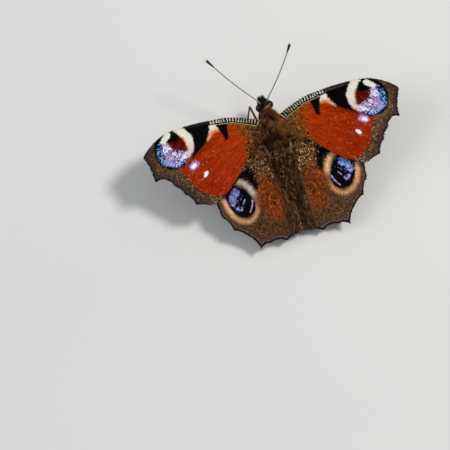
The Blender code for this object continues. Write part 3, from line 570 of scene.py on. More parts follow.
def fore_eyespot(points, colour):
    """The eyespot: black, holding a cream crescent and bar, a black and maroon pupil, and a field
    of lilac, white and blue flecks crossed by maroon streaks."""
    eyespot = ((20.3, -5.0), (22.0, -4.75), (24.0, -4.25), (25.6, -3.5), (26.8, -2.1), (27.25, 0.0),
               (26.9, 2.2), (25.6, 3.8), (23.6, 4.35), (21.6, 4.05), (20.2, 3.1), (18.9, 1.9),
               (18.1, 0.6), (17.85, -1.0), (18.1, -2.6), (18.9, -4.0))
    colour = paint(colour, spot(points, eyespot, 0.16, 0.1, 51), BLACK)
    out, rear = points.T
    field = ((19.4, 0.4), (21.2, 0.1), (22.6, -0.6), (23.3, -1.6), (24.3, -2.3), (25.3, -2.5),
             (26.3, -1.3), (26.75, 0.2), (26.6, 1.7), (26.0, 2.9), (24.6, 3.6), (23.2, 4.0),
             (21.9, 3.8), (20.6, 3.0), (19.6, 2.0), (19.0, 1.0))
    inner = spot(points, field, 0.25, 0.2, 52)
    u, v = STREAK_WAY
    along, beside = out * u + rear * v, rear * u - out * v
    rays = step(0.5, 0.72, grain(np.stack([along * 0.2, beside], -1), 0.4, 54))
    bluer = np.clip(step(24.7, 25.7, out) + step(2.4, 3.3, rear - 0.25 * (out - 22)), 0, 1)
    bright = sum(glow(points, place, size, 0.65) for place, size in (
        ((24.35, -0.6), (0.9, 0.6)), ((23.3, 1.35), (0.9, 0.55)),
        ((20.8, 1.9), (1.8, 0.6)), ((22.3, 3.0), (0.9, 0.5))))
    bright = np.clip(bright, 0, 1)
    lilac = mosaic(
        np.stack([along * 0.5, beside], -1), 0.2, 55, (0.4, linear(176, 150, 200)),
        (0.04 + 1.1 * bright, linear(232, 230, 246)), (0.22 * (1 - bright), linear(142, 110, 172)),
        (0.02 + 0.9 * rays * (1 - bright), linear(112, 34, 56)), (0.16, linear(130, 148, 212)))
    blue = mosaic(points, 0.3, 56, (0.4, linear(84, 134, 200)), (0.18, linear(150, 182, 226)),
                  (0.3, linear(8, 12, 26)), (0.12, linear(48, 84, 146)))
    is_blue = (bluer > flecks(points, 0.3, 57)[:, 0])[:, None]
    colour = paint(colour, inner, np.where(is_blue, blue, lilac))
    for path in (((20.9, 0.6), (21.8, 1.9), (22.7, 3.2)), ((21.8, 0.2), (22.6, 1.3), (23.8, 2.8)),
                 ((22.8, -0.4), (23.8, 0.9), (25.0, 2.4))):
        broken = line(points, path, 0.1, 0.1) * (flecks(points, 0.24, 63)[:, 0] < 0.75)
        colour = paint(colour, broken, linear(96, 20, 30), 0.9)
    maroon = ((19.6, -2.3), (20.6, -2.6), (21.8, -2.3), (23.2, -2.2), (23.8, -1.7), (23.3, -0.9),
              (22.7, -0.1), (21.4, 0.5), (20.4, 0.6), (19.7, 0.3), (19.5, -1.0))
    red_flecks = mosaic(points, 0.28, 58, (0.65, linear(92, 12, 6)), (0.25, linear(54, 6, 5)),
                        (0.1, linear(120, 32, 16)))
    colour = paint(colour, spot(points, maroon, 0.3, 0.3, 59), red_flecks)
    pupil = ((20.1, -2.5), (20.7, -3.5), (21.7, -4.3), (22.4, -4.0), (23.1, -3.1), (23.8, -2.3),
             (23.2, -1.8), (22.0, -1.9), (21.0, -2.2))
    colour = paint(colour, spot(points, pupil, 0.2, 0.3, 60), BLACK)
    ring = ((20.2, -5.05), (21.2, -5.0), (22.2, -4.5), (21.5, -4.1), (21.2, -3.6), (20.7, -3.1),
            (20.2, -2.5), (19.85, -1.5), (19.7, -0.6), (19.6, 0.3), (19.8, 1.1), (20.2, 1.7),
            (19.7, 2.2), (19.0, 1.7), (18.4, 0.9), (18.05, -0.1), (17.95, -1.3), (18.2, -2.6),
            (18.8, -3.8), (19.5, -4.6))
    ring_tone = blend(linear(226, 222, 206), linear(216, 194, 192), step(-2.0, 1.2, rear))
    colour = paint(colour, spot(points, ring, 0.22, 0.14, 61), ring_tone)
    blush = line(points, ((20.6, -2.8), (19.9, -1.8), (19.65, -0.7), (19.5, 0.4)), 0.16, 0.35)
    colour = paint(colour, blush, linear(222, 136, 70), 0.85)
    rim = line(points, ((18.3, 0.9), (18.9, 1.7), (19.8, 2.6), (21.0, 3.7)), 0.08, 0.25)
    colour = paint(colour, rim, linear(186, 104, 86), 0.8)
    bar = ((22.45, -4.05), (23.2, -4.35), (24.1, -3.85), (24.8, -3.1), (25.3, -2.3), (24.4, -1.9),
           (23.6, -2.5), (22.9, -3.2))
    return paint(colour, spot(points, bar, 0.2, 0.16, 62), linear(228, 226, 208))


FORE_SHIFTS = {  # of the bars, the eyespot and the pale spots
    "left": ((-0.18, 0.0), (0.0, -0.38), (-0.49, -0.05)),
    "right": ((-0.2, 0.13), (-0.1, 0.0), (0.32, 0.04))}
EYESPOT_START, EYESPOT_STRETCH = (18, 0), (0.97, 1.0)
PALE_SPOTS = (  # centre, lean, half sizes, raggedness and colour
    ((19.75, 4.2), 0.67, (1.35, 0.85), 0.45, linear(190, 146, 204)),
    ((19.85, 4.3), 0.67, (0.75, 0.45), 0.0, linear(238, 238, 252)),
    ((17.75, 6.65), 0.93, (0.85, 0.42), 0.0, linear(238, 238, 252)))


def fore_upper(points, side):
    """All markings of a fore wing's upper side; those of the two sides differ a little."""
    bars, eyespot, spots = np.array(FORE_SHIFTS[side])
    colour = fore_border(points, fore_ground(points, side), side)
    colour = fore_bars(points - bars, colour)
    moved = points - eyespot * step(14, 18, points[:, :1]) - EYESPOT_START
    colour = fore_eyespot(moved / EYESPOT_STRETCH + EYESPOT_START, colour)
    uneven = 0.3 * (grain(points, 0.35, 71) - 0.5)
    for place, lean, size, ragged, tone in PALE_SPOTS:
        u, v = leaned(points - spots, place, lean)
        reach = np.hypot(u / size[0], v / size[1]) + uneven
        reach = reach + ragged * (flecks(points, 0.25, 72)[:, 0] - 0.5)
        colour = paint(colour, 1 - step(0.75, 1.1, reach), tone)
    return colour


LOWER_FAN = {"fore": (3.0, 29.0), "hind": (0.0, 25.0)}  # its centre behind the roots and its length


def wing_lower(points, wing):
    """The underside: near-black brown crossed by fine wavy lines, with a paler outer third."""
    out, rear = points.T
    centre, length = LOWER_FAN[wing]
    reach = np.hypot(out, rear - centre) / length
    uneven = 0.9 * grain(points, 1.6, 81) + 0.5 * grain(points, 0.5, 82)
    wave = sin_wave((np.hypot(out, rear) + uneven) / 0.95)
    colour = mosaic(points, 0.3, 83, (0.5, linear(46, 37, 32)), (0.3, linear(30, 25, 24)),
                    (0.2, linear(68, 55, 44)))
    colour = paint(colour, step(0.3, 0.9, wave), linear(14, 12, 13), 0.85)
    band = step(0.62, 0.68, reach + 0.05 * grain(points, 1.2, 84)) * (1 - step(0.84, 0.9, reach))
    paler = mosaic(points, 0.3, 85, (0.6, linear(86, 73, 60)), (0.4, linear(60, 50, 44)))
    colour = paint(colour, band, paler, 0.75)
    colour = paint(colour, bell((reach - 0.62) / 0.012), BLACK, 0.9)
    if wing == "hind":
        dot = np.hypot(out - 8.6, rear - 11.6)
        colour = paint(colour, 1 - step(0.18, 0.3, dot), linear(206, 206, 200))
    return colour


def wing_skin(name, outline, middle, veins, wing, side, upper, lower):
    """A closed membrane. Rings of the outline are drawn in to a middle point, on an upper and a
    lower face that meet at the margin. The veins swell both faces."""
    shares = np.linspace(0.0, 1.0, SKIN_RINGS + 1)[1:] ** RING_CROWDING
    rings = middle + (outline - middle) * shares[:, None, None]
    flat = np.vstack([np.array([middle]), rings.reshape(-1, 2)])
    count, around = len(outline), np.arange(len(outline))
    onwards = (around + 1) % count
    starts = 1 + count * np.arange(len(shares) - 1)[:, None]
    quads = np.stack([starts + around, starts + count + around, starts + count + onwards,
                      starts + onwards], -1)
    fan = np.stack([np.zeros(count, int), 1 + around, 1 + onwards], -1)
    face = np.concatenate([fan, split_quads(quads)])
    turn_over = np.cross(outline[0] - middle, outline[1] - middle) * SIDES[side] < 0
    if turn_over:
        face = face[:, ::-1]
    edge = np.append(np.zeros(1), np.repeat(1 - shares, count)) * MARGIN_TAPER
    swell = VEIN_SWELL * vein_ridge(flat, veins, VEIN_HALF_WIDTH) * np.clip(edge, 0, 1)
    half = SKIN_HALF_THICKNESS * np.clip(edge, 0.12, 1) + swell
    top, bottom = wing_surface(flat, wing, side, half), wing_surface(flat, wing, side, -half)
    total = len(flat)
    last = 1 + count * (len(shares) - 1)
    rim = np.stack([last + around, last + total + around, last + total + onwards, last + onwards],
                   -1)
    rim = split_quads(rim if not turn_over else rim[:, ::-1])
    faces = np.concatenate([face, face[:, ::-1] + total, rim])
    obj = build_mesh(name, np.vstack([top, bottom]), faces)
    set_colours(obj, np.vstack([upper(flat), lower(flat)]) * SKIN_SHADE)
    return obj


def set_colours(obj, colours):
    """Stores a linear colour for each point, or one for all, which materials read as "Coat"."""
    layer = obj.data.color_attributes.new("Coat", "FLOAT_COLOR", "POINT")
    rgba = np.ones((len(obj.data.vertices), 4), np.float32)
    rgba[:, :3] = np.clip(colours, 0, 1)
    layer.data.foreach_set("color", rgba.ravel())


def scale_roots(outline, centre, along, across, seed):
    """Roots on arcs about a centre near the wing's root, and the way out from it, staggered."""
    rng = np.random.default_rng(seed)
    reach = np.linalg.norm(outline - centre, axis=1)
    angles = np.unwrap(np.arctan2(*(outline - centre).T[::-1]))
    rows = []
    for k, radius in enumerate(np.arange(max(reach.min(), along), reach.max(), along)):
        count = int((angles.max() - angles.min()) * radius / across) + 1
        turns = angles.min() + (np.arange(count) + 0.5 * (k % 2)) * across / radius
        rows.append(np.stack([np.full(count, radius), turns], -1))
    polar = np.concatenate(rows)
    spread = np.stack([np.full(len(polar), 0.2 * along), 0.18 * across / polar[:, 0]], -1)
    polar += rng.normal(0, 1, polar.shape) * spread
    ahead = np.stack([np.cos(polar[:, 1]), np.sin(polar[:, 1])], -1)
    flat = centre + polar[:, :1] * ahead
    keep = np.concatenate([inside(part, outline[::2]) for part in np.array_split(flat, 12)])
    return flat[keep], ahead[keep]


# A scale's root, flanks, tip and ridge, as shares of its length and width.
SCALE_SHAPE = np.array(
    ((0.0, 0.0, 0.0), (0.62, -0.5, 0.0), (1.0, 0.0, 0.0), (0.62, 0.5, 0.0), (0.6, 0.0, 0.14)))
SCALE_FACES = np.array(((0, 1, 4), (1, 2, 4), (2, 3, 4), (3, 0, 4), (0, 3, 1), (3, 2, 1)))


def tipped(vectors, towards_vectors, angle):
    """A pair of vectors at right angles, both turned by an angle, the first towards the second."""
    c, s = np.cos(angle)[:, None], np.sin(angle)[:, None]
    return vectors * c + towards_vectors * s, towards_vectors * c - vectors * s


def repeated(faces, size, count):
    """The faces of one small body for many of them, each with this many points."""
    return (np.arange(count)[:, None, None] * size + faces).reshape(-1, 3)


def clothe(name, outline, centre, wing, side, face, spacing, colours, seed):
    """Wing scales: kite-shaped plates of five points, ridged along the middle, closed below, that
    lie outwards over one another with their tips a little raised."""
    rng = np.random.default_rng(seed)
    along, across = spacing
    flat, ahead = scale_roots(outline, np.array(centre), along, across, seed)
    count = len(flat)
    length = along * SCALE_LENGTH * rng.uniform(0.85, 1.15, count)
    width = across * SCALE_WIDTH * rng.uniform(0.85, 1.1, count)
    turn = rng.normal(0, 0.14, count)
    ahead = np.stack([ahead[:, 0] * np.cos(turn) - ahead[:, 1] * np.sin(turn),
                      ahead[:, 0] * np.sin(turn) + ahead[:, 1] * np.cos(turn)], -1)
    roots, x, z = wing_frame(flat, ahead, wing, side)
    z = z * (1.0 if face == "upper" else -1.0)
    y = np.cross(z, x)
    x, z = tipped(x, z, np.abs(rng.normal(0.13, 0.05, count)))
    y, z = tipped(y, z, rng.normal(0, 0.12, count))
    local = SCALE_SHAPE * np.stack([length, width, width], -1)[:, None]
    base = roots + z * (SKIN_HALF_THICKNESS + 0.01)
    points = base[:, None] + np.einsum("npk,nkc->npc", local, np.stack([x, y, z], 1))
    faces = repeated(SCALE_FACES, len(SCALE_SHAPE), count)
    obj = build_mesh(name, points.reshape(-1, 3), faces, smooth=False)
    tones = colours(flat) * rng.normal(1.0, 0.1, (count, 1)).clip(0.7, 1.35)
    set_colours(obj, np.repeat(tones, len(SCALE_SHAPE), axis=0))
    coat_map(obj, wing_share(flat, outline) + 0.005, SCALE_SHAPE[:, :2])
    return obj


PATCH = 0.003


def coat_map(obj, places, shape):
    """The map OFBake: each tuft is a patch this far across at its root's place on the unwrapped
    skin, laid out in the tuft's own shape."""
    layer = obj.data.uv_layers.new(name="OFBake")
    corners = np.empty(len(obj.data.loops), np.int32)
    obj.data.loops.foreach_get("vertex_index", corners)
    uv = np.repeat(places, len(shape), axis=0) + np.tile(shape, (len(places), 1)) * PATCH
    layer.data.foreach_set("uv", uv[corners].ravel().astype(np.float32))


def powder_group():
    """Fine scale grain: the coat's own colour, unevenly dusted, and a height of small cells."""
    group = bpy.data.node_groups.new("scale powder", "ShaderNodeTree")
    for socket, way, kind in (("Coat", "INPUT", "Color"), ("Grain Size", "INPUT", "Float"),
                              ("Dust", "INPUT", "Float"), ("Colour", "OUTPUT", "Color"),
                              ("Height", "OUTPUT", "Float"), ("Roughness", "OUTPUT", "Float")):
        group.interface.new_socket(socket, in_out=way, socket_type=f"NodeSocket{kind}")
    given = add_node(group, "NodeGroupInput").outputs
    place = add_node(group, "ShaderNodeTexCoord").outputs["Object"]
    cells = add_node(group, "ShaderNodeTexVoronoi", {"Vector": place, "Scale": given["Grain Size"]})
    noise = add_node(
        group, "ShaderNodeTexNoise", {"Vector": place, "Scale": given["Grain Size"], "Detail": 3.0})
    spread = add_node(group, "ShaderNodeMapRange", {
        "Value": noise.outputs["Fac"], "From Min": 0.3, "From Max": 0.7, "To Min": 0.8,
        "To Max": 1.2})
    tinted = add_node(group, "ShaderNodeVectorMath",
                      {0: given["Coat"], "Scale": spread.outputs["Result"]}, operation="SCALE")
    mixed = add_node(group, "ShaderNodeMix", {
        "Factor": given["Dust"], "A": given["Coat"],
        "B": tinted.outputs["Vector"]}, data_type="RGBA")
    rough = add_node(group, "ShaderNodeMapRange", {
        "Value": cells.outputs["Distance"], "To Min": 0.5, "To Max": 0.75})
    add_node(group, "NodeGroupOutput",
             {"Colour": mixed.outputs[2], "Height": cells.outputs["Distance"],
              "Roughness": rough.outputs["Result"]})
    return group


POWDER = powder_group()


def coat_material(name, grain_scale, dust, bump, **constants):
    """A material that takes its colour from the piece's "Coat" through the powder group."""
    material, tree, shader = new_material(name, 0.6, **constants)
    coat = add_node(tree, "ShaderNodeAttribute", attribute_name="Coat")
    powder = add_node(tree, "ShaderNodeGroup", node_tree=POWDER)
    powder.inputs["Grain Size"].default_value = grain_scale
    powder.inputs["Dust"].default_value = dust
    tree.links.new(coat.outputs["Color"], powder.inputs["Coat"])
    tree.links.new(powder.outputs["Colour"], shader.inputs["Base Color"])
    tree.links.new(powder.outputs["Roughness"], shader.inputs["Roughness"])
    if bump:
        raised = add_node(tree, "ShaderNodeBump", {
            "Height": powder.outputs["Height"], "Strength": bump, "Distance": 0.00002})
        tree.links.new(raised.outputs["Normal"], shader.inputs["Normal"])
    return material


def finish(obj, material, slot, *nodes):
    """Gives a piece its material and the one body, and hides the nodes that it stands for. The slot
    is not used.
    """
    obj.data.materials.append(material)
    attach(obj, "root")
    if nodes:
        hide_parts(*nodes)


def dress_wing(wing, side, outline, middle, veins, fan, markings, slot, seeds):
    """One wing: its membrane, and the scales of its upper and its lower face."""
    def upper(points):
        return markings(points, side)

    def lower(points):
        return wing_lower(points, wing)

    name = f"{wing}wing_{side}"
    skin = wing_skin(f"{name}_skin", outline, np.array(middle), veins, wing, side, upper, lower)
    finish(skin, skin_material, slot, name)
    scales = clothe(f"{name}_scales", outline, fan, wing, side, "upper", UPPER_SCALES, upper,
                    seeds[0])
    finish(scales, scale_material, slot)
    scales = clothe(f"{name}_underscales", outline, fan, wing, side, "lower", LOWER_SCALES, lower,
                    seeds[1])
    finish(scales, scale_material, slot)


skin_material = coat_material(
    "wing_membrane", grain_scale=9000.0, dust=0.8, bump=0.35, Specular_IOR_Level=0.03)
scale_material = coat_material(
    "wing_scales", grain_scale=16000.0, dust=0.5, bump=0.0, Specular_IOR_Level=0.03)
FORE_FAN = (-3.0, -2.0)  # the point that rows of scales are struck about
for side in SIDES:
    dress_wing("fore", side, FORE_OUTLINE, FORE_MIDDLE, FORE_VEINS, FORE_FAN, fore_upper,
               "forewing_red", (101, 102))


# The hind wings: broader membranes that dip into a valley along the abdomen, with the oval
# eyespot near the front corner. They lie under the fore wings.
HIND_COSTA = ((2.0, 1.0), (6.5, 1.6), (11.5, 5.4), (15.7, 10.2))
HIND_TIPS = ((17.2, 13.6), (16.9, 16.6), (15.1, 20.1), (12.4, 22.1), (10.35, 25.5), (7.8, 24.8),
             (4.25, 25.1), (0.2, 24.0))
HIND_SAGS = (0.1, 0.35, 0.3, 0.35, 0.45, 0.6, 0.4)
HIND_VEINS = (
    ((3.4, 1.9), (8.0, 3.9), (13.0, 8.6), (16.8, 13.2)),
    ((5.2, 4.6), (8.6, 7.6), (13.4, 12.2), (16.5, 16.2)),
    ((8.6, 7.6), (10.2, 9.7), (13.4, 15.0), (14.9, 19.6)),
    ((10.2, 9.7), (9.6, 11.4), (11.9, 17.0), (12.3, 21.6)),
    ((7.2, 11.7), (9.5, 18.5), (10.3, 24.8)),
    ((6.6, 10.9), (7.8, 18.0), (7.8, 24.3)),
    ((5.2, 7.9), (5.3, 16.5), (4.3, 24.6)),
    ((3.1, 3.4), (3.9, 9.5), (3.0, 17.5), (1.9, 22.5)),
    ((5.2, 4.6), (5.2, 7.9), (6.6, 10.9), (7.2, 11.7), (9.6, 11.4)),
    ((3.4, 2.7), (5.2, 4.6)),
)
inner_back = np.concatenate([np.linspace(23.4, 17.6, 22), np.linspace(17.2, 1.4, 64)])
inner_out = np.interp(inner_back, *np.transpose(HIND_EDGE))
HIND_OUTLINE = np.vstack([
    smooth_curve((*HIND_COSTA, HIND_TIPS[0]), 18)[:-1], scalloped(HIND_TIPS, HIND_SAGS, 15),
    np.stack([inner_out, inner_back], -1)])
HIND_MIDDLE = (8.0, 13.0)
HIND_FAN = (1.0, -3.5)


def hind_ground(points, side):
    """The hind wing's ground: a speckled base, a rust centre streaked lengthwise, a dark strip
    beside the body and brown borders with a fine blue-black edge. On the right wing the strip is
    wider and darker, most of all next to the body, as painted shade in the valley beside the
    abdomen; on the left wing a line of painted shade marks the fold."""
    left = side == "left"
    out, rear = points.T
    along = np.stack([np.arctan2(out, rear + 4) * 16, np.hypot(out, rear + 4) * 0.3], -1)
    streak = grain(along, 0.26, 103) * 0.6 + grain(along, 0.7, 104) * 0.4
    streaked = (0.6 + 0.8 * streak)[:, None]
    colour = mosaic(points, 0.24, 105, (0.42, linear(88, 60, 38)), (0.22, linear(62, 43, 30)),
                    (0.24, linear(114, 80, 54)), (0.12, linear(32, 24, 20)))
    colour = colour * (0.8 + 0.4 * streak)[:, None]
    colour = colour * ((0.79, 0.76, 0.6) if left else (1.04, 1.0, 0.9))
    # The right wing's dark strip reaches farther out, as painted shade in the valley beside the
    # abdomen.
    near = 2.3 if left else 3.2
    rust = spot(points, (
        (3.4, 8.4), (near + 0.2, 12.0), (near, 18.0), (4.0, 20.2), (5.6, 20.4), (6.9, 19.4),
        (7.6, 17.6), (8.4, 15.6), (8.3, 13.0), (7.7, 10.8), (6.4, 9.0)), 1.0, 0.8, 106)
    warm = linear(138, 52, 10) if left else linear(134, 56, 14)
    rusty = mosaic(along * (1.0, 1.6), 0.17, 107, (0.46, warm), (0.26, linear(102, 50, 18)),
                   (0.18, linear(50, 27, 14)), (0.1, linear(150, 84, 36)))
    colour = paint(colour, rust, rusty * streaked, 0.92)
    wavering = 0.5 * (grain(points, 0.8, 108) - 0.5)
    strip = 1 - step(near - 0.6, near, out + 0.03 * (20 - rear) + wavering)
    if left:
        dark = mosaic(along, 0.16, 109, (0.4, linear(124, 80, 50)), (0.32, linear(170, 116, 74)),
                      (0.28, linear(46, 32, 23)))
        dark = dark * (1 - 0.4 * step(16, 22, rear))[:, None]
        # Painted shade: a dark line along the fold of the wing's inner part.
        fold_shade = bell((out - 3.2 - 0.04 * (14 - rear)) / 0.14) * between(rear, 9, 11, 18, 20)
        colour = paint(colour, fold_shade, linear(34, 24, 18), 0.75)
    else:
        # Painted shade: the right wing's strip is darker, most of all next to the body.
        dark = mosaic(along, 0.16, 109, (0.42, linear(82, 57, 37)), (0.28, linear(124, 88, 58)),
                      (0.3, linear(32, 24, 18)))
        core = (1 - step(0.6, 1.6, out - 1.7 * (1 - step(14, 20, rear))))[:, None]
        dark = dark * (1 - 0.45 * core)
    colour = paint(colour, strip * step(6, 10, rear), dark * streaked, 0.94)
    pale_edge = bell((out - near - 0.1 + 0.02 * (20 - rear)) / 0.16) * between(rear, 7, 11, 17, 20)
    pale_edge = pale_edge * step(0.3, 0.7, grain(points, 0.4, 110)) * (0.4 if left else 1.0)
    colour = paint(colour, pale_edge, linear(150, 98, 62), 0.55)
    reach = rear - 0.1 * out - 6.2 - 2.0 * (grain(points, 1.0, 111) - 0.5)
    base = np.clip(1.3 - reach / 4.2, 0, 1)
    dust = mosaic(
        points, 0.17, 112, (0.42, linear(16, 12, 9)), (0.22, linear(74, 48, 26)),
        (0.16, linear(142, 96, 46)), (0.08, linear(206, 182, 138)), (0.12, linear(112, 62, 24)))
    dust = dust * (0.8 if left else 1.25)
    colour = np.where((flecks(points, 0.2, 113)[:, 0] < base)[:, None], dust, colour)
    colour = paint(colour, vein_ridge(points, HIND_VEINS, VEIN_LINE), linear(64, 40, 30), 0.3)
    edge = distance_to(points, looped(HIND_OUTLINE))
    outer = step(17, 20, rear) * step(0.6, 1.2, out) + step(15.5, 16.5, out) * step(13, 14, rear)
    outer = np.clip(outer, 0, 1)
    colour = paint(colour, (1 - step(0.6, 2.4, edge)) * outer, linear(74, 52, 44), 0.5)
    dots = bell((edge - 0.42) / 0.12) * outer * (flecks(points, 0.3, 114)[:, 0] < 0.5)
    colour = paint(colour, dots, linear(126, 120, 134), 0.6)
    specks = (flecks(points, 0.2, 115)[:, 0] < 0.014) * outer * (1 - step(1.5, 5.0, edge))
    colour = paint(colour, specks, linear(158, 136, 112), 0.7)
    return paint(colour, (1 - step(0.2, 0.4, edge)) * outer, linear(16, 15, 22), 0.92)


def hind_eyespot(points, colour, side):
    """The eyespot: a black oval with blue patches and lilac streaks, inside a ring that is cream
    above and tan below, with a black crescent outside it."""
    left = side == "left"
    crescent = ((8.2, 6.6), (9.6, 7.3), (11.6, 8.5), (12.4, 9.3), (10.4, 8.9), (9.3, 9.5),
                (8.6, 10.6), (8.1, 12.2), (7.6, 12.1), (7.4, 10.9), (7.7, 9.2), (8.0, 7.8))
    colour = paint(colour, spot(points, crescent, 0.6, 0.5, 121), BLACK)
    upper_ring = line(points, (
        (12.2, 9.2), (11.2, 9.6), (10.2, 10.4), (9.4, 11.6), (9.0, 13.0), (8.9, 14.6)), 0.55, 0.8)
    out, rear = points.T
    across, down = out - 12.4, rear - 14  # from the eyespot's centre
    spoke = np.arctan2(down, across) * 12
    rays = grain(np.stack([spoke, 0 * spoke], -1), 0.4, 122)
    upper_tones = ((linear(146, 136, 116), linear(206, 200, 182)) if left else
                   (linear(204, 152, 102), linear(236, 200, 150)))
    upper_tone = blend(*upper_tones, rays)
    fade = 1 - step(12.4, 15.0, rear)
    colour = paint(colour, upper_ring * fade, upper_tone)
    colour = paint(colour, upper_ring * (1 - fade), linear(134, 88, 60), 0.8)
    radial = grain(np.stack([spoke, np.hypot(across, down) * 0.3], -1), 0.22, 130)
    low_tone = blend(linear(150, 106, 74), linear(206, 160, 118), radial)
    low_tone = low_tone * ((1.12, 1.1, 1.0) if left else (1.28, 1.14, 1.0))
    wide = 0.42 + 0.12 * step(11, 14, out)
    lower_ring = line(points, ((8.9, 15.6), (9.3, 17.2), (10.4, 18.4), (12.0, 18.8), (13.6, 18.1),
                               (14.8, 16.8), (15.6, 15.0), (16.0, 13.0)), wide, 0.8)
    swell = step(15.0, 17.6, rear + 0.6 * (out - 9))
    colour = paint(colour, lower_ring * (0.3 + 0.7 * swell), low_tone)
    paler = line(points, ((14.8, 16.0), (15.4, 14.6), (15.7, 13.2)), 0.32, 0.45)
    colour = paint(colour, paler, blend(linear(206, 160, 118), linear(232, 192, 150), radial), 0.8)
    outside = line(points, ((16.8, 13.2), (16.5, 15.4), (15.4, 18.0), (13.6, 19.6)), 0.3, 0.6)
    colour = paint(colour, outside, linear(84, 60, 44), 0.8)
    oval = ((13.0, 10.0), (12.0, 10.4), (10.9, 11.3), (10.0, 12.6), (9.4, 14.0), (9.3, 15.5),
            (9.7, 16.7), (10.7, 17.5), (12.0, 17.8), (13.2, 17.4), (14.3, 16.3), (14.9, 14.9),
            (15.15, 13.2), (15.1, 11.8), (14.3, 10.6))
    colour = paint(colour, spot(points, oval, 0.2, 0.14, 124), linear(4, 4, 8))
    large = ((12.0, 11.0), (12.7, 10.8), (13.5, 11.1), (14.2, 11.9), (14.6, 12.9), (14.6, 13.8),
             (14.2, 14.7), (13.7, 14.6), (13.4, 13.9), (12.9, 13.3), (12.4, 12.8), (12.1, 12.0))
    violet = step(12.0, 14.8, rear)
    high, low = ((linear(126, 126, 188), linear(144, 138, 196)) if left else
                 (linear(130, 164, 226), linear(160, 162, 228)))
    patchy = mosaic(points, 0.2, 125, (0.42, (1.0, 1.0, 1.0)), (0.36, (0.5, 0.6, 0.72)),
                    (0.22, (1.5, 1.4, 1.25)))
    blue = blend(high, low, violet) * patchy
    dense = spot(points, large, 0.4, 0.35, 126)
    scattered = flecks(points, 0.22, 128)
    colour = np.where((scattered[:, 0] < 0.92 * dense)[:, None], blue, colour)
    halo = spot(points, large, 2.6, 0.2, 127)
    halo = halo * (1 - step(12.6, 13.4, out)) * step(11.6, 13, rear)
    dust = (scattered[:, 1] < (0.34 if left else 0.42) * halo) & (dense < 0.3)
    dust_tone = blend(linear(50, 78, 104), linear(122, 130, 196), scattered[:, 0])
    colour = np.where(dust[:, None], dust_tone, colour)
    small = ((12.0, 15.5), (12.2, 16.1), (13.0, 16.1), (13.5, 15.8), (13.8, 15.1), (13.4, 15.0),
             (12.9, 15.6), (12.4, 15.3))
    broken = spot(points, small, 0.25, 0.25, 129) * (scattered[:, 0] < 0.85)
    colour = paint(colour, broken, low * patchy)
    for path, half_width, share in ((((11.2, 13.8), (11.5, 14.2), (11.8, 14.75)), 0.11, 0.7),
                                    (((9.55, 14.3), (10.0, 15.5), (10.75, 16.8)), 0.13, 0.88)):
        broken = line(points, path, half_width, 0.12) * (scattered[:, 0] < share)
        colour = paint(colour, broken, linear(184, 172, 226))
    return colour


HIND_EYESPOT_SHIFT = {"left": (-0.34, 0.24), "right": (-0.12, -0.18)}
DARK_COSTA_AND_SHADOW = {  # the hind wing's dark costa, with a painted shadow of the fore wing's edge
    "left": ((9.8, 5.0), (10.35, 8.3), (11.8, 9.95), (13.7, 11.2), (15.4, 12.2), (17.6, 12.6),
             (18.5, 12.0), (13.0, 4.5)),
    "right": ((9.3, 5.0), (10.0, 7.6), (12.1, 10.05), (14.5, 11.85), (16.2, 12.9), (18.5, 12.5),
              (13.0, 4.5))}


def hind_upper(points, side):
    """All markings of a hind wing's upper side, with a painted shadow of the fore wing over its
    dark costa. The left eyespot is a little nearer the body.
    """
    eyespot = points - HIND_EYESPOT_SHIFT[side]
    colour = hind_eyespot(eyespot, hind_ground(points, side), side)
    # Painted shadow: the fore wing's shadow laid near-black over the hind wing's own dark costa.
    return paint(colour, spot(points, DARK_COSTA_AND_SHADOW[side], 0.25, 0.1, 131), linear(12, 10, 10), 0.95)


for side in SIDES:
    dress_wing("hind", side, HIND_OUTLINE, HIND_MIDDLE, HIND_VEINS, HIND_FAN, hind_upper,
               "hindwing_rust", (121, 122))


# The body: one skin over head, thorax and abdomen, with the neck drawn in, a shoulder lobe over
# each fore wing's root, a groove across the thorax and eight abdominal segments.
HEAD_TURN = radians(4.0)
NECK = (-4.75, -4.35)
BODY_ROWS = (  # y, half width, top, bottom, exponent of the section
    (-7.25, 0.36, -1.05, -1.85, 2.3), (-6.9, 0.74, -0.55, -2.25, 2.6),
    (-6.0, 0.92, -0.22, -2.42, 2.8), (-5.3, 0.92, -0.35, -2.3, 2.8),
    (-4.75, 0.8, -0.65, -2.0, 2.5), (-4.5, 0.78, -0.7, -2.0, 2.3),
    (-4.15, 1.15, -0.4, -2.4, 2.3), (-3.5, 1.68, 0.12, -3.05, 2.3), (-2.0, 2.2, 0.75, -3.7, 2.3),
    (0.2, 2.42, 1.08, -3.9, 2.3), (2.2, 2.28, 0.95, -3.6, 2.3), (3.5, 1.95, 0.62, -2.9, 2.3),
    (4.3, 1.6, 0.25, -2.35, 2.2), (4.7, 1.52, 0.2, -2.25, 2.1), (5.4, 1.75, 0.45, -2.6, 2.1),
    (6.4, 1.9, 0.55, -2.85, 2.1), (9.2, 1.95, 0.32, -3.15, 2.1), (12.2, 1.75, -0.22, -3.35, 2.1),
    (14.8, 1.28, -1.0, -3.34, 2.1), (16.4, 0.68, -1.75, -3.05, 2.0), (17.0, 0.3, -2.15, -2.8, 2.0))
BODY_AROUND = 96
BODY_STEPS = 9
SHOULDER_SWELL, GROOVE_DEPTH = 0.22, 0.14
SEGMENT_START, SEGMENT_LENGTH = 4.6, 1.55
COLLAR = (-1.6, -1.2, -0.85, -0.3, 0.25, 0.7, 1.2), (-4.8, -5.35, -5.5, -5.3, -5.05, -4.8, -4.5)
UNDER_FUR = 0.7  # how dark the skin is against its hairs


def circle(count):
    """Angles evenly spread all round."""
    return np.arange(count) * 2 * pi / count


def about_neck(x, y, angle):
    """x and y of the body frame turned about the neck's rear end."""
    ahead = y - NECK[1]
    return (x * np.cos(angle) - ahead * np.sin(angle),
            NECK[1] + ahead * np.cos(angle) + x * np.sin(angle))


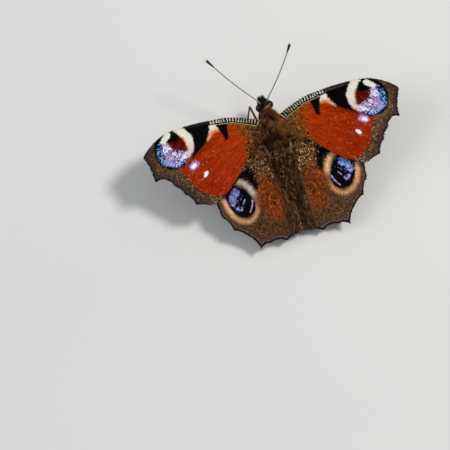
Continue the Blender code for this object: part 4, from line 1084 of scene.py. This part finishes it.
def body_grid():
    """Rings of the body in its own frame: superellipses, swollen along their normals by the
    shoulder lobes, drawn in by the grooves, and the head turned about the neck."""
    rows = smooth_curve(BODY_ROWS, BODY_STEPS)
    y, half, top, bottom, power = rows.T[:, :, None]
    turn = circle(BODY_AROUND)
    across = np.sign(np.cos(turn)) * np.abs(np.cos(turn)) ** (2 / power)
    rise = np.sign(np.sin(turn)) * np.abs(np.sin(turn)) ** (2 / power)
    x = half * across
    z = (top + bottom) / 2 + (top - bottom) / 2 * rise
    lobe = bell((np.abs(x) - 1.75) / 0.6, (y + 1.7) / 1.2) * (rise > 0)
    cross_groove = bell((y - 2.7 - 0.35 * np.abs(x)) / 0.22) * np.clip(rise, 0, 1)
    share = ((y - SEGMENT_START) / SEGMENT_LENGTH) % 1.0
    segment = np.where(y > SEGMENT_START + 0.5, np.minimum(share, 1 - share) < 0.12, 0) * 0.05
    swell = SHOULDER_SWELL * lobe - GROOVE_DEPTH * cross_groove - segment
    swell = swell + 0.05 * np.clip(y - SEGMENT_START, 0, 1) * (share - 0.5)
    x = x + swell * np.cos(turn)
    z = z + swell * np.sin(turn)
    bend = HEAD_TURN * (1 - step(*NECK, y))
    return np.stack([*about_neck(x, y, bend), z], -1)


def closed_grid(rings):
    """Points and triangles of a closed body through rings of points, with a pole at each end."""
    rows, around = rings.shape[:2]
    here, following = np.arange(around), np.roll(np.arange(around), -1)
    start = np.arange(rows - 1)[:, None] * around
    quads = np.stack([start + here, start + following,
                      start + around + following, start + around + here], -1)
    last, total = (rows - 1) * around, rows * around
    caps = [np.stack([np.full(around, total), following, here], -1),
            np.stack([np.full(around, total + 1), last + here, last + following], -1)]
    points = np.vstack([rings.reshape(-1, 3), rings[0].mean(axis=0), rings[-1].mean(axis=0)])
    return points, np.concatenate([split_quads(quads), *caps])


def outward(points, faces):
    """A closed body's faces turned outwards, which a negative volume shows to be needed."""
    a, b, c = (points[faces[:, k]] for k in range(3))
    return faces[:, ::-1] if (np.cross(a, b) * c).sum() < 0 else faces


def body_tone(points):
    """The coat's colours: a dark head with two pale strokes behind it, a silky brown thorax that
    is rusty along its shoulders, and a dark abdomen dusted with gold. On the thorax light is
    painted in: shade over its left side, whose shoulder is hardly rusty, a pinkish highlight on
    top of its middle, and shade in the groove across it."""
    x, y, z = points.T
    strands = np.stack([np.arctan2(x, z + 2.2) * 2.4, y * 0.35 - 0.2 * np.abs(x)], -1)
    silk = grain(strands, 0.22, 201) * 0.7 + grain(strands, 0.5, 202) * 0.3
    across = np.abs(x - 0.1)
    # Painted shade: the left shoulder keeps only a fifth of its rust.
    shoulder = step(0.5, 1.5, across) * between(y, -4.8, -3.6, 3.4, 5.2) * np.where(x > 0, 0.2, 1)
    rusty = np.clip(shoulder + 0.3 * (1 - step(-4.2, -2.4, y)), 0, 1)
    thorax = blend(linear(80, 50, 28), linear(146, 90, 32), rusty)
    # Painted shade: the thorax's left side, away from the light, is darker behind its front.
    shaded = step(0.5, 1.3, x) * step(-3.4, -2.4, y)
    thorax = thorax * (1 - 0.5 * shaded)[:, None]
    # Painted highlight: a pinkish sheen on top of the thorax's middle.
    thorax_highlight = bell((x - 0.1) / 0.55, (y + 1.2) / 1.3) * (z > 0)
    thorax = paint(thorax, thorax_highlight, linear(158, 102, 62), 0.8)
    thorax = paint(thorax, step(0.55, 0.8, silk), linear(176, 120, 66), 0.6)
    thorax = paint(thorax, 1 - step(0.25, 0.5, silk), linear(20, 14, 10), 0.9)
    thorax = thorax * (1 - 0.3 * step(0.6, 2.0, y) * (1 - step(0.9, 1.6, across)))[:, None]
    # Painted shade: a near-black line in the groove across the thorax.
    groove = bell((y - 1.9 - 0.5 * x) / 0.25) * (1 - step(0.7, 1.2, np.abs(x))) * (z > 0)
    thorax = paint(thorax, groove, linear(14, 10, 9), 0.95)
    flat = np.stack([np.arctan2(x, z + 1.4) * 1.9, y], -1)
    abdomen = mosaic(
        flat, 0.18, 203, (0.36, linear(46, 30, 18)), (0.24, linear(15, 11, 8)),
        (0.2, linear(92, 57, 28)), (0.14, linear(140, 92, 40)), (0.06, linear(170, 134, 86)))
    abdomen = abdomen * (0.75 + 0.5 * silk)[:, None]
    head = mosaic(flat, 0.2, 204, (0.52, linear(25, 18, 13)), (0.34, linear(11, 9, 8)),
                  (0.1, linear(52, 38, 28)), (0.04, linear(108, 84, 68)))
    colour = blend(thorax, abdomen, step(3.0, 4.6, y + 0.5 * np.abs(x)))
    collar = y - np.interp(x, *COLLAR)
    colour = blend(colour, head, 1 - step(-0.2, 0.3, collar))
    stroke = bell(collar / 0.16) * (np.abs(x + 0.85) > 0.2) * (x < 0.5) * (z > -1.2)
    colour = paint(colour, stroke, linear(196, 150, 124), 0.7)
    under = step(-1.6, -2.6, z)
    return paint(colour, under, linear(56, 42, 34) * (0.6 + 0.8 * silk)[:, None], 0.9)


BODY_GRID = body_grid()
body_points, body_faces = closed_grid(BODY_GRID)
body_world = to_world(body_points)
body_skin = build_mesh("body_skin", body_world, outward(body_world, body_faces))
set_colours(body_skin, body_tone(body_points) * UNDER_FUR)
body_skin_material = coat_material(
    "body_skin", grain_scale=6000.0, dust=1.0, bump=0.5, Specular_IOR_Level=0.25)
finish(body_skin, body_skin_material, "fur_brown", "head", "thorax", "abdomen")


# The fur: silky hairs that lie backwards over thorax and abdomen, and shorter, rougher ones that
# stand up on the head. Each hair is a closed three-sided taper with a bend in it.
# Seven corners, laid out flat for the map: three at the root, three at the bend, and the tip.
HAIR_SHAPE = np.array(
    ((0.0, 0.0), (0.5, 0.0), (1.0, 0.0), (0.0, 0.55), (0.5, 0.55), (1.0, 0.55), (0.5, 1.0)))
HAIR_FACES = np.array(((0, 2, 1), (0, 1, 4), (0, 4, 3), (1, 2, 5), (1, 5, 4), (2, 0, 3), (2, 3, 5),
                       (3, 4, 6), (4, 5, 6), (5, 3, 6)))
HAIR_SHADE = np.array((0.6, 0.6, 0.6, 1.0, 1.0, 1.0, 1.15))  # at the root, the bend and the tip
FUR = (  # hairs, from and to along the body, seed and slot
    ("fur_thorax", 15000, -4.5, 4.2, 211, "fur_brown"),
    ("fur_abdomen", 13000, 3.9, 16.98, 212, "abdomen_brown"),
    ("fur_head", 3600, -7.24, -4.4, 213, "head_brown"),
)


def spokes(beside, above, around):
    """For each pair of directions, unit vectors all round in their plane."""
    turn = circle(around)[:, None]
    return beside[:, None] * np.cos(turn) + above[:, None] * np.sin(turn)


def tufts(name, roots, lay, normals, lengths, widths, rise, droop, tones, places):
    """Hairs from these roots along lay, raised by rise from the skin and lowered again by droop
    past their bend, both angles in radians."""
    lay = unit(lay - normals * (lay * normals).sum(-1, keepdims=True))
    beside = np.cross(normals, lay)

    def heading(angle):
        return lay * np.cos(angle)[:, None] + normals * np.sin(angle)[:, None]

    first, second = heading(rise), heading(rise - droop)
    middle = roots + first * lengths[:, None] * 0.5
    tip = middle + second * lengths[:, None] * 0.5
    rings = []
    for centre, ahead, width in ((roots - normals * 0.03, first, widths),
                                 (middle, unit(first + second), widths * 0.75)):
        upwards = np.cross(ahead, beside)
        rings.append(centre[:, None] + spokes(beside, upwards, 3) * (width / 2)[:, None, None])
    points = np.concatenate([*rings, tip[:, None]], axis=1)
    faces = repeated(HAIR_FACES, len(HAIR_SHAPE), len(roots))
    flat = points[0, HAIR_FACES]
    if (np.cross(flat[:, 0] - roots[0], flat[:, 1] - roots[0]) * (flat[:, 2] - roots[0])).sum() < 0:
        faces = faces[:, ::-1]
    obj = build_mesh(name, points.reshape(-1, 3), faces)
    set_colours(obj, (tones[:, None] * HAIR_SHADE[:, None]).reshape(-1, 3))
    coat_map(obj, places, HAIR_SHAPE)
    return obj


def on_body(count, rows, seed):
    """Roots spread evenly over the rows of the body's skin: body-frame points and normals, and
    their places on the skin's unwrap, whose sides are its length and its way round."""
    rng = np.random.default_rng(seed)
    grid = BODY_GRID[rows[0]:rows[1] + 1]
    nearer, farther = grid[:-1], grid[1:]
    corners = np.stack([nearer, np.roll(nearer, -1, 1), farther, np.roll(farther, -1, 1)], 2)
    cells = corners.reshape(-1, 4, 3)
    normals = np.cross(cells[:, 1] - cells[:, 2], cells[:, 3] - cells[:, 0])
    areas = np.linalg.norm(normals, axis=1)
    picked = rng.choice(len(cells), count, p=areas / areas.sum())
    u, v = rng.random((2, count))
    a, b, c, d = cells[picked].transpose(1, 0, 2)
    roots = blend(blend(a, b, u), blend(c, d, u), v)
    normal = unit(normals[picked])
    centre = cells[picked].mean(axis=1) * (0, 1, 0) + (0, 0, -1.3)
    normal *= np.sign(((roots - centre) * normal).sum(-1, keepdims=True))
    along = (rows[0] + picked // BODY_AROUND + v) / len(BODY_GRID)
    round_share = (picked % BODY_AROUND + u) / BODY_AROUND
    return roots, normal, np.stack([0.005 + 0.6 * round_share, 0.005 + 0.98 * along], -1)


def body_row(y):
    """The first row of the body's skin behind y."""
    return int(np.searchsorted(smooth_curve(BODY_ROWS, BODY_STEPS)[:, 0], y))


def furred(name, count, start, end, seed):
    """The body's hairs between two places along it. They lie backwards, in clumps, and part to
    the flanks; those of the head stand up, and those of the neck are raised into a collar."""
    rng = np.random.default_rng(seed)
    roots, normals, places = on_body(count, (body_row(start), body_row(end)), seed)
    x, y, z = roots.T
    on_head = 1 - step(-4.9, -4.5, y)
    on_tail = step(3.6, 5.2, y)
    clump = grain(np.stack([np.arctan2(x, z + 2.2) * 2.4, y * 0.6], -1), 0.34, seed + 5)
    flank = step(0.9, 1.9, np.abs(x)) * (1 - on_tail) * step(-1.6, -0.6, z)
    parting = (0.28 + 0.3 * flank) * x + 1.1 * (clump - 0.5) * (1 - 0.6 * on_tail)
    lay = np.stack([parting + rng.normal(0, 0.2, count), np.ones(count),
                    rng.normal(0, 0.16, count)], -1)
    fringe = np.stack([0.5 * x + rng.normal(0, 0.4, count), rng.normal(-0.55, 0.4, count),
                       0.5 + rng.normal(0, 0.3, count)], -1)
    lay = blend(lay, fringe, on_head)
    collar = between(y, -4.5, -4.1, -3.9, -3.2) * rng.uniform(0.4, 1.0, count)
    raised = np.stack([0.5 * x, 0 * x, 0.6 + 0 * x], -1)
    lay = lay * (1 - 1.9 * collar)[:, None] + raised * collar[:, None]
    low = step(-0.6, -2.2, z)
    lengths = 1.2 * (1 - on_head - on_tail) + 0.75 * on_head + 0.42 * on_tail
    lengths = lengths + 0.25 * low * (1 - on_head) + 0.35 * flank
    lengths = lengths * rng.uniform(0.7, 1.3, count)
    widths = (0.07 * (1 - on_tail) + 0.11 * on_tail) * rng.uniform(0.7, 1.25, count)
    rise = rng.normal(0.42, 0.1, count) * (1 - on_head) + rng.normal(0.85, 0.25, count) * on_head
    droop = rng.normal(0.3, 0.12, count) * (1 - on_head) + rng.normal(0.2, 0.2, count) * on_head
    rise = rise + 0.3 * (clump - 0.5) * (1 - on_head)
    tones = body_tone(roots) * rng.normal(1.0, 0.25, (count, 1)).clip(0.4, 1.8)
    tones = tones * (0.6 + 0.8 * clump)[:, None]
    return tufts(name, to_world(roots), turned(lay), turned(normals), lengths, widths, rise, droop,
                 tones, places)


def collar_fur(name, count, seed):
    """The collar's hairs, some of them pale, that lie forwards over the back of the head and the
    inner edge of the right eye."""
    rng = np.random.default_rng(seed)
    roots, normals, places = on_body(count, (body_row(-5.2), body_row(-4.2)), seed)
    keep = (roots[:, 2] > -1.1) & (roots[:, 0] < 0.35)
    roots, normals, places = roots[keep], normals[keep], places[keep]
    count = len(roots)
    sideways = rng.normal(-0.25, 0.2, count) + 0.3 * roots[:, 0]
    lay = np.stack([sideways, np.full(count, -1.0), np.zeros(count)], -1)
    tones = linear(128, 66, 24) * rng.uniform(0.4, 1.5, (count, 1))
    tones[(roots[:, 1] < -4.9) & (rng.random(count) < 0.25)] = linear(196, 150, 124)
    lengths, widths = rng.uniform(0.55, 0.95, count), rng.uniform(0.06, 0.09, count)
    rise, droop = rng.normal(0.5, 0.15, count), rng.normal(0.5, 0.15, count)
    return tufts(name, to_world(roots), turned(lay), turned(normals), lengths, widths, rise, droop,
                 tones, places)


hair_material = coat_material(
    "silky_hair", grain_scale=9000.0, dust=0.3, bump=0.0, Specular_IOR_Level=0.1)
for name, count, start, end, seed, slot in FUR:
    finish(furred(name, count, start, end, seed), hair_material, slot)
finish(collar_fur("fur_collar", count=2400, seed=214), hair_material, "head_brown")


# The eyes: large, glossy and almost black, with very fine facets. Each sits in the side of the
# head.
EYE_PLACE = (1.13, -5.95, -1.3)
EYE_RADII = (0.98, 0.95, 1.1)
EYE_COLOUR = (0.013, 0.008, 0.006, 1.0)
FACETS_PER_METRE = 30000.0


def head_turned(points):
    """Body-frame points of the head, turned with it about the neck."""
    x, y, z = np.moveaxis(np.asarray(points, float), -1, 0)
    return np.stack([*about_neck(x, y, HEAD_TURN), z], -1)


def ellipsoid(centre, radii, rows=28, around=44):
    """A closed ellipsoid of rings, with its poles along Z."""
    polar = (np.arange(rows) + 0.5) * pi / rows
    turn = circle(around)
    rings = np.stack([np.sin(polar)[:, None] * np.cos(turn), np.sin(polar)[:, None] * np.sin(turn),
                      np.cos(polar)[:, None] + 0 * turn], -1)
    points, faces = closed_grid(rings)
    points[-2:] = ((0, 0, 1), (0, 0, -1))
    return points * radii + centre, faces


eye_material, tree, shader = new_material("compound_eye", 0.2, Specular_IOR_Level=0.18)
shader.inputs["Base Color"].default_value = EYE_COLOUR
coordinates = add_node(tree, "ShaderNodeTexCoord")
facets = add_node(tree, "ShaderNodeTexVoronoi", {
    "Vector": coordinates.outputs["Object"], "Scale": FACETS_PER_METRE})
facet_bump = add_node(tree, "ShaderNodeBump", {
    "Height": facets.outputs["Distance"], "Strength": 0.08, "Distance": 0.00001})
tree.links.new(facet_bump.outputs["Normal"], shader.inputs["Normal"])
for side, sign in SIDES.items():
    points, faces = ellipsoid(np.array(EYE_PLACE) * (sign, 1, 1), EYE_RADII)
    points = to_world(head_turned(points))
    eye = build_mesh(f"eye_{side}_globe", points, outward(points, faces))
    finish(eye, eye_material, "eye_dark", f"eye_{side}")


# The antennae: about forty joints, each dark with a pale ring at its base, that swell slowly into
# a slender black club with a small cream tip.
ANTENNA = {  # length, spread from the body's line, rise
    "left": (16.0, radians(33.6), radians(17.0)), "right": (14.6, radians(46.2), radians(32.0))}
ANTENNA_BASE = (0.72, -6.55, -0.35)
ANTENNA_LIFT, ANTENNA_BOW = 0.6, 0.35
ANTENNA_JOINTS, ANTENNA_AROUND = 40, 12
SHAFT_RADIUS, JOINT_SWELL, BASE_SWELL, CLUB_SWELL = 0.125, 0.018, 0.1, 0.18
CLUB_START, CLUB_FULL, CREAM_START = 0.81, 0.96, 0.968


def tube_rings(path, radii, around=12):
    """Rings about a path in one frame carried along it, each as wide as its radius."""
    ahead = unit(np.gradient(path, axis=0))
    beside = unit(np.cross(ahead, (0.0, 0.0, 1.0)))
    above = np.cross(beside, ahead)
    return path[:, None] + spokes(beside, above, around) * np.asarray(radii)[:, None, None]


antenna_material = coat_material(
    "antenna", grain_scale=12000.0, dust=0.8, bump=0.3, Specular_IOR_Level=0.35)
for side, sign in SIDES.items():
    length, spread, rise = ANTENNA[side]
    marks = np.linspace(0.0, 1.0, ANTENNA_JOINTS * 6 + 1)
    ahead = np.array([sign * sin(spread) * cos(rise), -cos(spread) * cos(rise), sin(rise)])
    bow = np.array([sign * cos(spread), sin(spread), 0.0]) * ANTENNA_BOW
    base = np.array(ANTENNA_BASE) * (sign, 1, 1)
    lift = np.array((0.0, 0.0, ANTENNA_LIFT)) * step(0.0, 0.06, marks)[:, None]
    path = base + lift + marks[:, None] * length * ahead + np.sin(marks * pi)[:, None] * bow
    joint = (marks * ANTENNA_JOINTS) % 1.0
    radii = SHAFT_RADIUS + CLUB_SWELL * step(CLUB_START, CLUB_FULL, marks)
    radii = radii + JOINT_SWELL * np.sin(joint * pi) + BASE_SWELL * (1 - step(0.0, 0.03, marks))
    radii = radii * np.sqrt(np.clip((1.004 - marks) / 0.035, 0, 1))
    points, faces = closed_grid(tube_rings(path, radii, ANTENNA_AROUND))
    mark = np.append(np.repeat(marks, ANTENNA_AROUND), (0.0, 1.0))
    joint = (mark * ANTENNA_JOINTS) % 1.0
    shaft = np.where((joint < 0.5)[:, None], linear(172, 168, 152), linear(62, 56, 50))
    colour = np.where((mark > CLUB_START + 0.02)[:, None], linear(22, 19, 18), shaft)
    colour = paint(colour, step(CREAM_START, CREAM_START + 0.014, mark), linear(212, 194, 162))
    points = to_world(head_turned(points))
    antenna = build_mesh(f"antenna_{side}_joints", points, outward(points, faces))
    set_colours(antenna, colour)
    finish(antenna, antenna_material, "antenna_grey", f"antenna_{side}")


# The palps: two rough, pointed feelers held up in front of the face, thick with dark scales.
PALP_PATH = ((0.46, -6.9, -2.3), (0.5, -7.45, -2.5), (0.48, -7.9, -2.2), (0.38, -8.35, -1.55))
PALP_RADII = (0, 0.3, 0.7, 0.95, 1.0), (0.2, 0.3, 0.24, 0.1, 0.02)  # at shares of the length
PALP_SCALES = 420


def along_tube(path, radii, count, rng):
    """Roots scattered over a tube, with directions along it, normals and unwrap places."""
    share, turn = rng.random(count), rng.random(count) * 2 * pi
    place = share * (len(path) - 1)
    low = np.minimum(place.astype(int), len(path) - 2)
    centre = path[low] + (path[low + 1] - path[low]) * (place - low)[:, None]
    ahead = unit(path[low + 1] - path[low])
    beside = unit(np.cross(ahead, (0.0, 0.0, 1.0)))
    normal = beside * np.cos(turn)[:, None] + np.cross(beside, ahead) * np.sin(turn)[:, None]
    radius = np.interp(place, np.arange(len(path)), radii)
    places = np.stack([turn / 7 + 0.01, share * 0.98 + 0.005], -1)
    return centre + normal * radius[:, None] * 0.9, ahead, normal, places


for side, sign in SIDES.items():
    rng = np.random.default_rng(221)
    path = to_world(head_turned(smooth_curve(np.array(PALP_PATH) * (sign, 1, 1), 8)))
    share = np.linspace(0, 1, len(path))
    radii = np.interp(share, *PALP_RADII)
    points, faces = closed_grid(tube_rings(path, radii))
    palp = build_mesh(f"palp_{side}_core", points, outward(points, faces))
    set_colours(palp, linear(28, 23, 22))
    finish(palp, antenna_material, "palp_black", f"palp_{side}")
    count = PALP_SCALES
    roots, ahead, normals, places = along_tube(path, radii, count, rng)
    tones = np.where((rng.random(count) < 0.3)[:, None], linear(104, 86, 74), linear(42, 34, 29))
    lengths, widths = rng.uniform(0.35, 0.75, count), rng.uniform(0.05, 0.08, count)
    rise, droop = rng.normal(0.6, 0.15, count), rng.normal(0.1, 0.1, count)
    coat = tufts(f"palp_{side}_scales", roots, ahead, normals, lengths, widths, rise, droop, tones,
                 places)
    finish(coat, hair_material, "palp_black")


# The walking legs: a swollen femur, a slim spined tibia and a tarsus of five joints that ends in
# two claws and lies flat on the floor. The forelegs are small brushes folded under the head.
LEGS = {  # hip, trochanter and knee in the body frame, then ankle and toe on the floor
    "midleg_left": ((-55.0, -0.9), (3.3, -6.9, -1.3), (4.6, -5.7), (7.0, -6.2)),
    "midleg_right": ((-55.0, -0.9), (4.9, -3.2, -1.9), (6.3, -5.6), (8.4, -7.4)),
    "hindleg_left": ((-55.0, 1.9), (5.6, 4.3, -2.0), (6.4, 9.3), (7.3, 12.4)),
    "hindleg_right": ((-55.0, 1.9), (5.7, 4.0, -2.0), (6.6, 8.9), (7.7, 12.0)),
}
TARSUS_RADIUS = 0.17
COXA_LENGTH, JOINT_OVERLAP = 1.15, 0.08
# Radii at the start, a quarter, seven tenths and the end of each joint.
COXA_RADII, FEMUR_RADII = (0.42, 0.46, 0.36, 0.26), (0.2, 0.32, 0.26, 0.2)
TIBIA_RADII, TARSUS_RADII = (0.18, 0.19, 0.2, 0.22), (0.12, 0.13, 0.15, TARSUS_RADIUS)
TARSUS_MARKS = (0.0, 0.42, 0.62, 0.77, 0.88, 1.0)
CLAW_AHEAD, CLAW_BESIDE = (0.0, 0.12, 0.26, 0.4), (0.0, 0.08, 0.11, 0.1)
CLAW_RISE, CLAW_RADII = (0.0, 0.02, -0.04, -0.13), (0.05, 0.05, 0.035, 0.008)
leg_material = coat_material("leg", grain_scale=9000.0, dust=1.0, bump=0.4, Specular_IOR_Level=0.4)


def spindle(start, end, widths):
    """A closed, tapered joint of a leg between two points, rounded at both ends."""
    ahead = unit(end - start)
    start, end = start - ahead * JOINT_OVERLAP, end + ahead * JOINT_OVERLAP
    share = (1 - np.cos(np.linspace(0.06, pi - 0.06, 22))) / 2
    path = start + share[:, None] * (end - start)
    radii = np.interp(share, (0.0, 0.25, 0.7, 1.0), widths)
    reach = np.minimum(share, 1 - share) * np.linalg.norm(end - start)
    radii = radii * np.sqrt(1 - np.clip(1 - reach / radii, 0, 1) ** 2)
    return closed_grid(tube_rings(path, radii, around=14))


def joined(parts):
    """Points and outward faces of several closed bodies as one mesh."""
    starts = np.cumsum([0] + [len(points) for points, _ in parts[:-1]])
    faces = [outward(points, faces) + start for (points, faces), start in zip(parts, starts)]
    return np.vstack([points for points, _ in parts]), np.concatenate(faces)


def along_tubes(tubes, rng):
    """Roots scattered over straight tubes, each given by its ends, radius and number of roots."""
    parts = [along_tube(np.array(ends), (radius, radius), count, rng)
             for *ends, radius, count in tubes]
    return [np.concatenate(part) for part in zip(*parts)]


def on_thorax(angle, y, clear):
    """A point this far off the thorax's skin at an angle in degrees round its section."""
    row = BODY_GRID[body_row(y)]
    point = row[int(round(angle / 360 * BODY_AROUND)) % BODY_AROUND]
    outwards = unit(point - (0.0, point[1], -1.3))
    return point + outwards * clear, outwards


for name, ((angle, hip_y), knee, ankle, toe) in LEGS.items():
    sign = SIDES[name.split("_")[1]]
    rng = np.random.default_rng(231)
    hip, outwards = on_thorax(angle, hip_y, -0.2)
    hip, trochanter, knee = (to_world(np.asarray(place) * (sign, 1, 1))
                             for place in (hip, hip + outwards * COXA_LENGTH, knee))
    ankle, toe = (np.array((sign * x, y, TARSUS_RADIUS)) + BODY_PLACE * (1, 1, 0)
                  for x, y in (ankle, toe))
    tibia_end = ankle + (0.0, 0.0, 0.04)
    parts = [spindle(hip, trochanter, COXA_RADII), spindle(trochanter, knee, FEMUR_RADII),
             spindle(knee, tibia_end, TIBIA_RADII)]
    joints = ankle + np.array(TARSUS_MARKS)[:, None] * (toe - ankle)
    parts += [spindle(*ends, TARSUS_RADII) for ends in zip(joints[:-1], joints[1:])]
    ahead = unit(toe - ankle)
    beside = np.cross(ahead, (0.0, 0.0, 1.0))
    for hand in (-1, 1):
        curl = np.outer(CLAW_AHEAD, ahead) + np.outer(CLAW_BESIDE, beside * hand)
        curl[:, 2] += CLAW_RISE
        parts.append(closed_grid(tube_rings(toe + curl, CLAW_RADII, around=8)))
    points, faces = joined(parts)
    points[:, 2] = np.maximum(points[:, 2], 0.0)
    leg = build_mesh(f"{name}_joints", points, faces)
    thigh = np.arange(len(points)) < sum(len(p) for p, _ in parts[:2])
    tone = np.where(thigh[:, None], linear(72, 52, 38), linear(118, 94, 70))
    tone = tone * (0.7 + 0.6 * grain(points[:, :2], 0.3, 232))[:, None]
    set_colours(leg, tone)
    finish(leg, leg_material, "leg_brown", name)
    coat = along_tubes(
        ((trochanter, knee, 0.27, 260), (knee, tibia_end, 0.19, 320), (ankle, toe, 0.15, 160)), rng)
    clear = coat[0][:, 2] > 0.12  # of the floor
    roots, ahead, normals, places = (part[clear] for part in coat)
    count = len(roots)
    long = rng.random(count) < 0.12
    tones = np.where((rng.random(count) < 0.3)[:, None], linear(150, 122, 92), linear(62, 44, 33))
    lengths = np.where(long, 0.34, 0.2) * rng.uniform(0.8, 1.2, count)
    coat = tufts(f"{name}_bristles", roots, ahead, normals, lengths, np.where(long, 0.04, 0.05),
                 np.where(long, 0.6, 0.25), np.full(count, 0.1), tones, places)
    finish(coat, hair_material, "leg_brown")


FORELEG = ((1.0, -3.3, -2.9), (1.2, -3.3, -3.2), (1.15, -5.7, -3.4), (1.6, -4.7, -5.0),
           (1.6, -3.85, -5.5))
FORELEG_RADII = ((0.2, 0.2, 0.2, 0.2), (0.2, 0.24, 0.2, 0.16), (0.16, 0.17, 0.16, 0.14),
                 (0.14, 0.15, 0.13, 0.08))
for side, sign in SIDES.items():
    rng = np.random.default_rng(241)
    corners = to_world(np.array(FORELEG) * (sign, 1, 1))
    parts = zip(corners[:-1], corners[1:], FORELEG_RADII)
    points, faces = joined([spindle(*part) for part in parts])
    leg = build_mesh(f"foreleg_{side}_joints", points, faces)
    set_colours(leg, linear(58, 43, 34))
    finish(leg, leg_material, "leg_brown", f"foreleg_{side}")
    tubes = [(*ends, 0.16, 260) for ends in zip(corners[1:-1], corners[2:])]
    roots, ahead, normals, places = along_tubes(tubes, rng)
    count = len(roots)
    tones = linear(66, 48, 36) * rng.uniform(0.4, 1.6, (count, 1))
    lengths, widths = rng.uniform(0.35, 0.7, count), rng.uniform(0.035, 0.05, count)
    rise, droop = rng.normal(0.42, 0.12, count), rng.normal(0.3, 0.1, count)
    coat = tufts(f"foreleg_{side}_brush", roots, ahead, normals, lengths, widths, rise, droop,
                 tones, places)
    finish(coat, hair_material, "leg_brown")


# Hairs on the wings: long silky ones over the fore wings' bases and the hind wings' inner halves,
# a hem of them between the two, and a fringe of narrow scales along every margin.
# The box that hairs are tried in, as its corner and size.
HAIR_BOX = {"fore": ((1.9, -3.2), (6.5, 6.0)), "hind": ((0.2, 1.0), (10.0, 23.0))}
HAIR_TRIES = {"fore": 9000, "hind": 30000}
HEM_HAIRS, HEM_START, HEM_REACH = 1100, (2.3, 0.2), (3.6, 2.8)
HAIR_LIFT = 0.1
# Each margin's fringe runs from one point of the outline to another.
FRINGES = (("fore", FORE_OUTLINE, 0, 230, fore_upper, "forewing_red"),
           ("hind", HIND_OUTLINE, 30, 205, hind_upper, "hindwing_rust"))


def wing_hairs(name, wing, side, flat, ahead, lengths, widths, rise, tones, lift, outline, slot):
    """Hairs rooted on a wing's upper face that lie along ahead, given in the flat pattern."""
    roots, lay, normals = wing_frame(flat, ahead, wing, side)
    places = np.clip(wing_share(flat, outline), 0, 0.99) + 0.004
    hairs = tufts(name, roots + normals * lift, lay, normals, lengths, widths, rise, rise * 0.9,
                  tones, places)
    finish(hairs, hair_material, slot)


def tried(wing, outline, rng):
    """Random flat points of a wing's box, those that lie inside its outline."""
    corner, size = HAIR_BOX[wing]
    flat = rng.random((HAIR_TRIES[wing], 2)) * size + corner
    return flat[inside(flat, outline)]


for side in SIDES:
    rng = np.random.default_rng(251)
    flat = tried("fore", FORE_OUTLINE, rng)
    dense = bell((flat[:, 0] - 2.0) / 1.7) * step(-1.6, -0.9, flat[:, 1] + 0.33 * (flat[:, 0] - 4))
    flat = flat[rng.random(len(flat)) < dense]
    hem = HEM_START + rng.random((HEM_HAIRS, 1)) * HEM_REACH + rng.normal(0, 0.14, (HEM_HAIRS, 2))
    flat = np.vstack([flat, hem[inside(hem, FORE_OUTLINE)]])
    count = len(flat)
    on_hem = np.arange(count) >= count - inside(hem, FORE_OUTLINE).sum()
    backwards = np.where(on_hem, 0.9, 0.5 + 0.2 * flat[:, 1])
    ahead = np.stack([np.where(on_hem, 0.1, 0.75), backwards], -1)
    ahead = unit(ahead + rng.normal(0, 0.25, (count, 2)))
    tones = fore_upper(flat, side) * rng.uniform(0.7, 1.4, (count, 1))
    tones = tones * (0.8 if side == "left" else 1.2)
    draw = rng.random(count)
    tones[draw < 0.3] = linear(30, 22, 15)
    tones[draw > (0.85 if side == "left" else 0.6)] = linear(164, 112, 54)
    lengths = rng.uniform(0.5, 1.2, count) * np.where(on_hem, 1.9, 1.0)
    widths = rng.uniform(0.045, 0.07, count)
    rise = rng.normal(0.32, 0.08, count) * np.where(on_hem, 0.2, 1.0)
    wing_hairs(f"forewing_{side}_hairs", "fore", side, flat, ahead, lengths, widths, rise, tones,
               HAIR_LIFT, FORE_OUTLINE, "forewing_red")

    flat = tried("hind", HIND_OUTLINE, rng)
    inner = bell((flat[:, 0] - 1.4) / 1.1)
    inner = inner + 0.12 * (1 - step(5, 8, flat[:, 1])) * (1 - step(3.5, 5.5, flat[:, 0]))
    flat = flat[rng.random(len(flat)) < 0.6 * inner]
    count = len(flat)
    ahead = np.stack([0.12 + 0.05 * flat[:, 0], np.ones(count)], -1)
    ahead = unit(ahead + rng.normal(0, 0.1, (count, 2)))
    tones = hind_upper(flat, side) * rng.uniform(0.35, 1.6, (count, 1))
    lengths, widths = rng.uniform(0.6, 1.2, count), rng.uniform(0.04, 0.065, count)
    rise = rng.normal(0.24, 0.06, count)
    wing_hairs(f"hindwing_{side}_hairs", "hind", side, flat, ahead, lengths, widths, rise, tones,
               HAIR_LIFT, HIND_OUTLINE, "hindwing_rust")

    for wing, outline, first, last, markings, slot in FRINGES:
        course = smooth_curve(outline[first:last], 7)
        lengthwise = unit(np.gradient(course, axis=0))
        outwards = np.stack([lengthwise[:, 1], -lengthwise[:, 0]], -1)
        outwards *= np.sign(((course - outline.mean(axis=0)) * outwards).sum(-1).sum())
        count = len(course)
        ahead = unit(outwards + rng.normal(0, 0.18, (count, 2)))
        tones = markings(course - outwards * 0.12, side) * rng.uniform(0.6, 1.3, (count, 1))
        lengths, widths = rng.uniform(0.22, 0.4, count), rng.uniform(0.07, 0.1, count)
        rise = rng.normal(0.0, 0.06, count)
        wing_hairs(f"{wing}wing_{side}_fringe", wing, side, course - ahead * 0.06, ahead, lengths,
                   widths, rise, tones, 0.0, outline, slot)
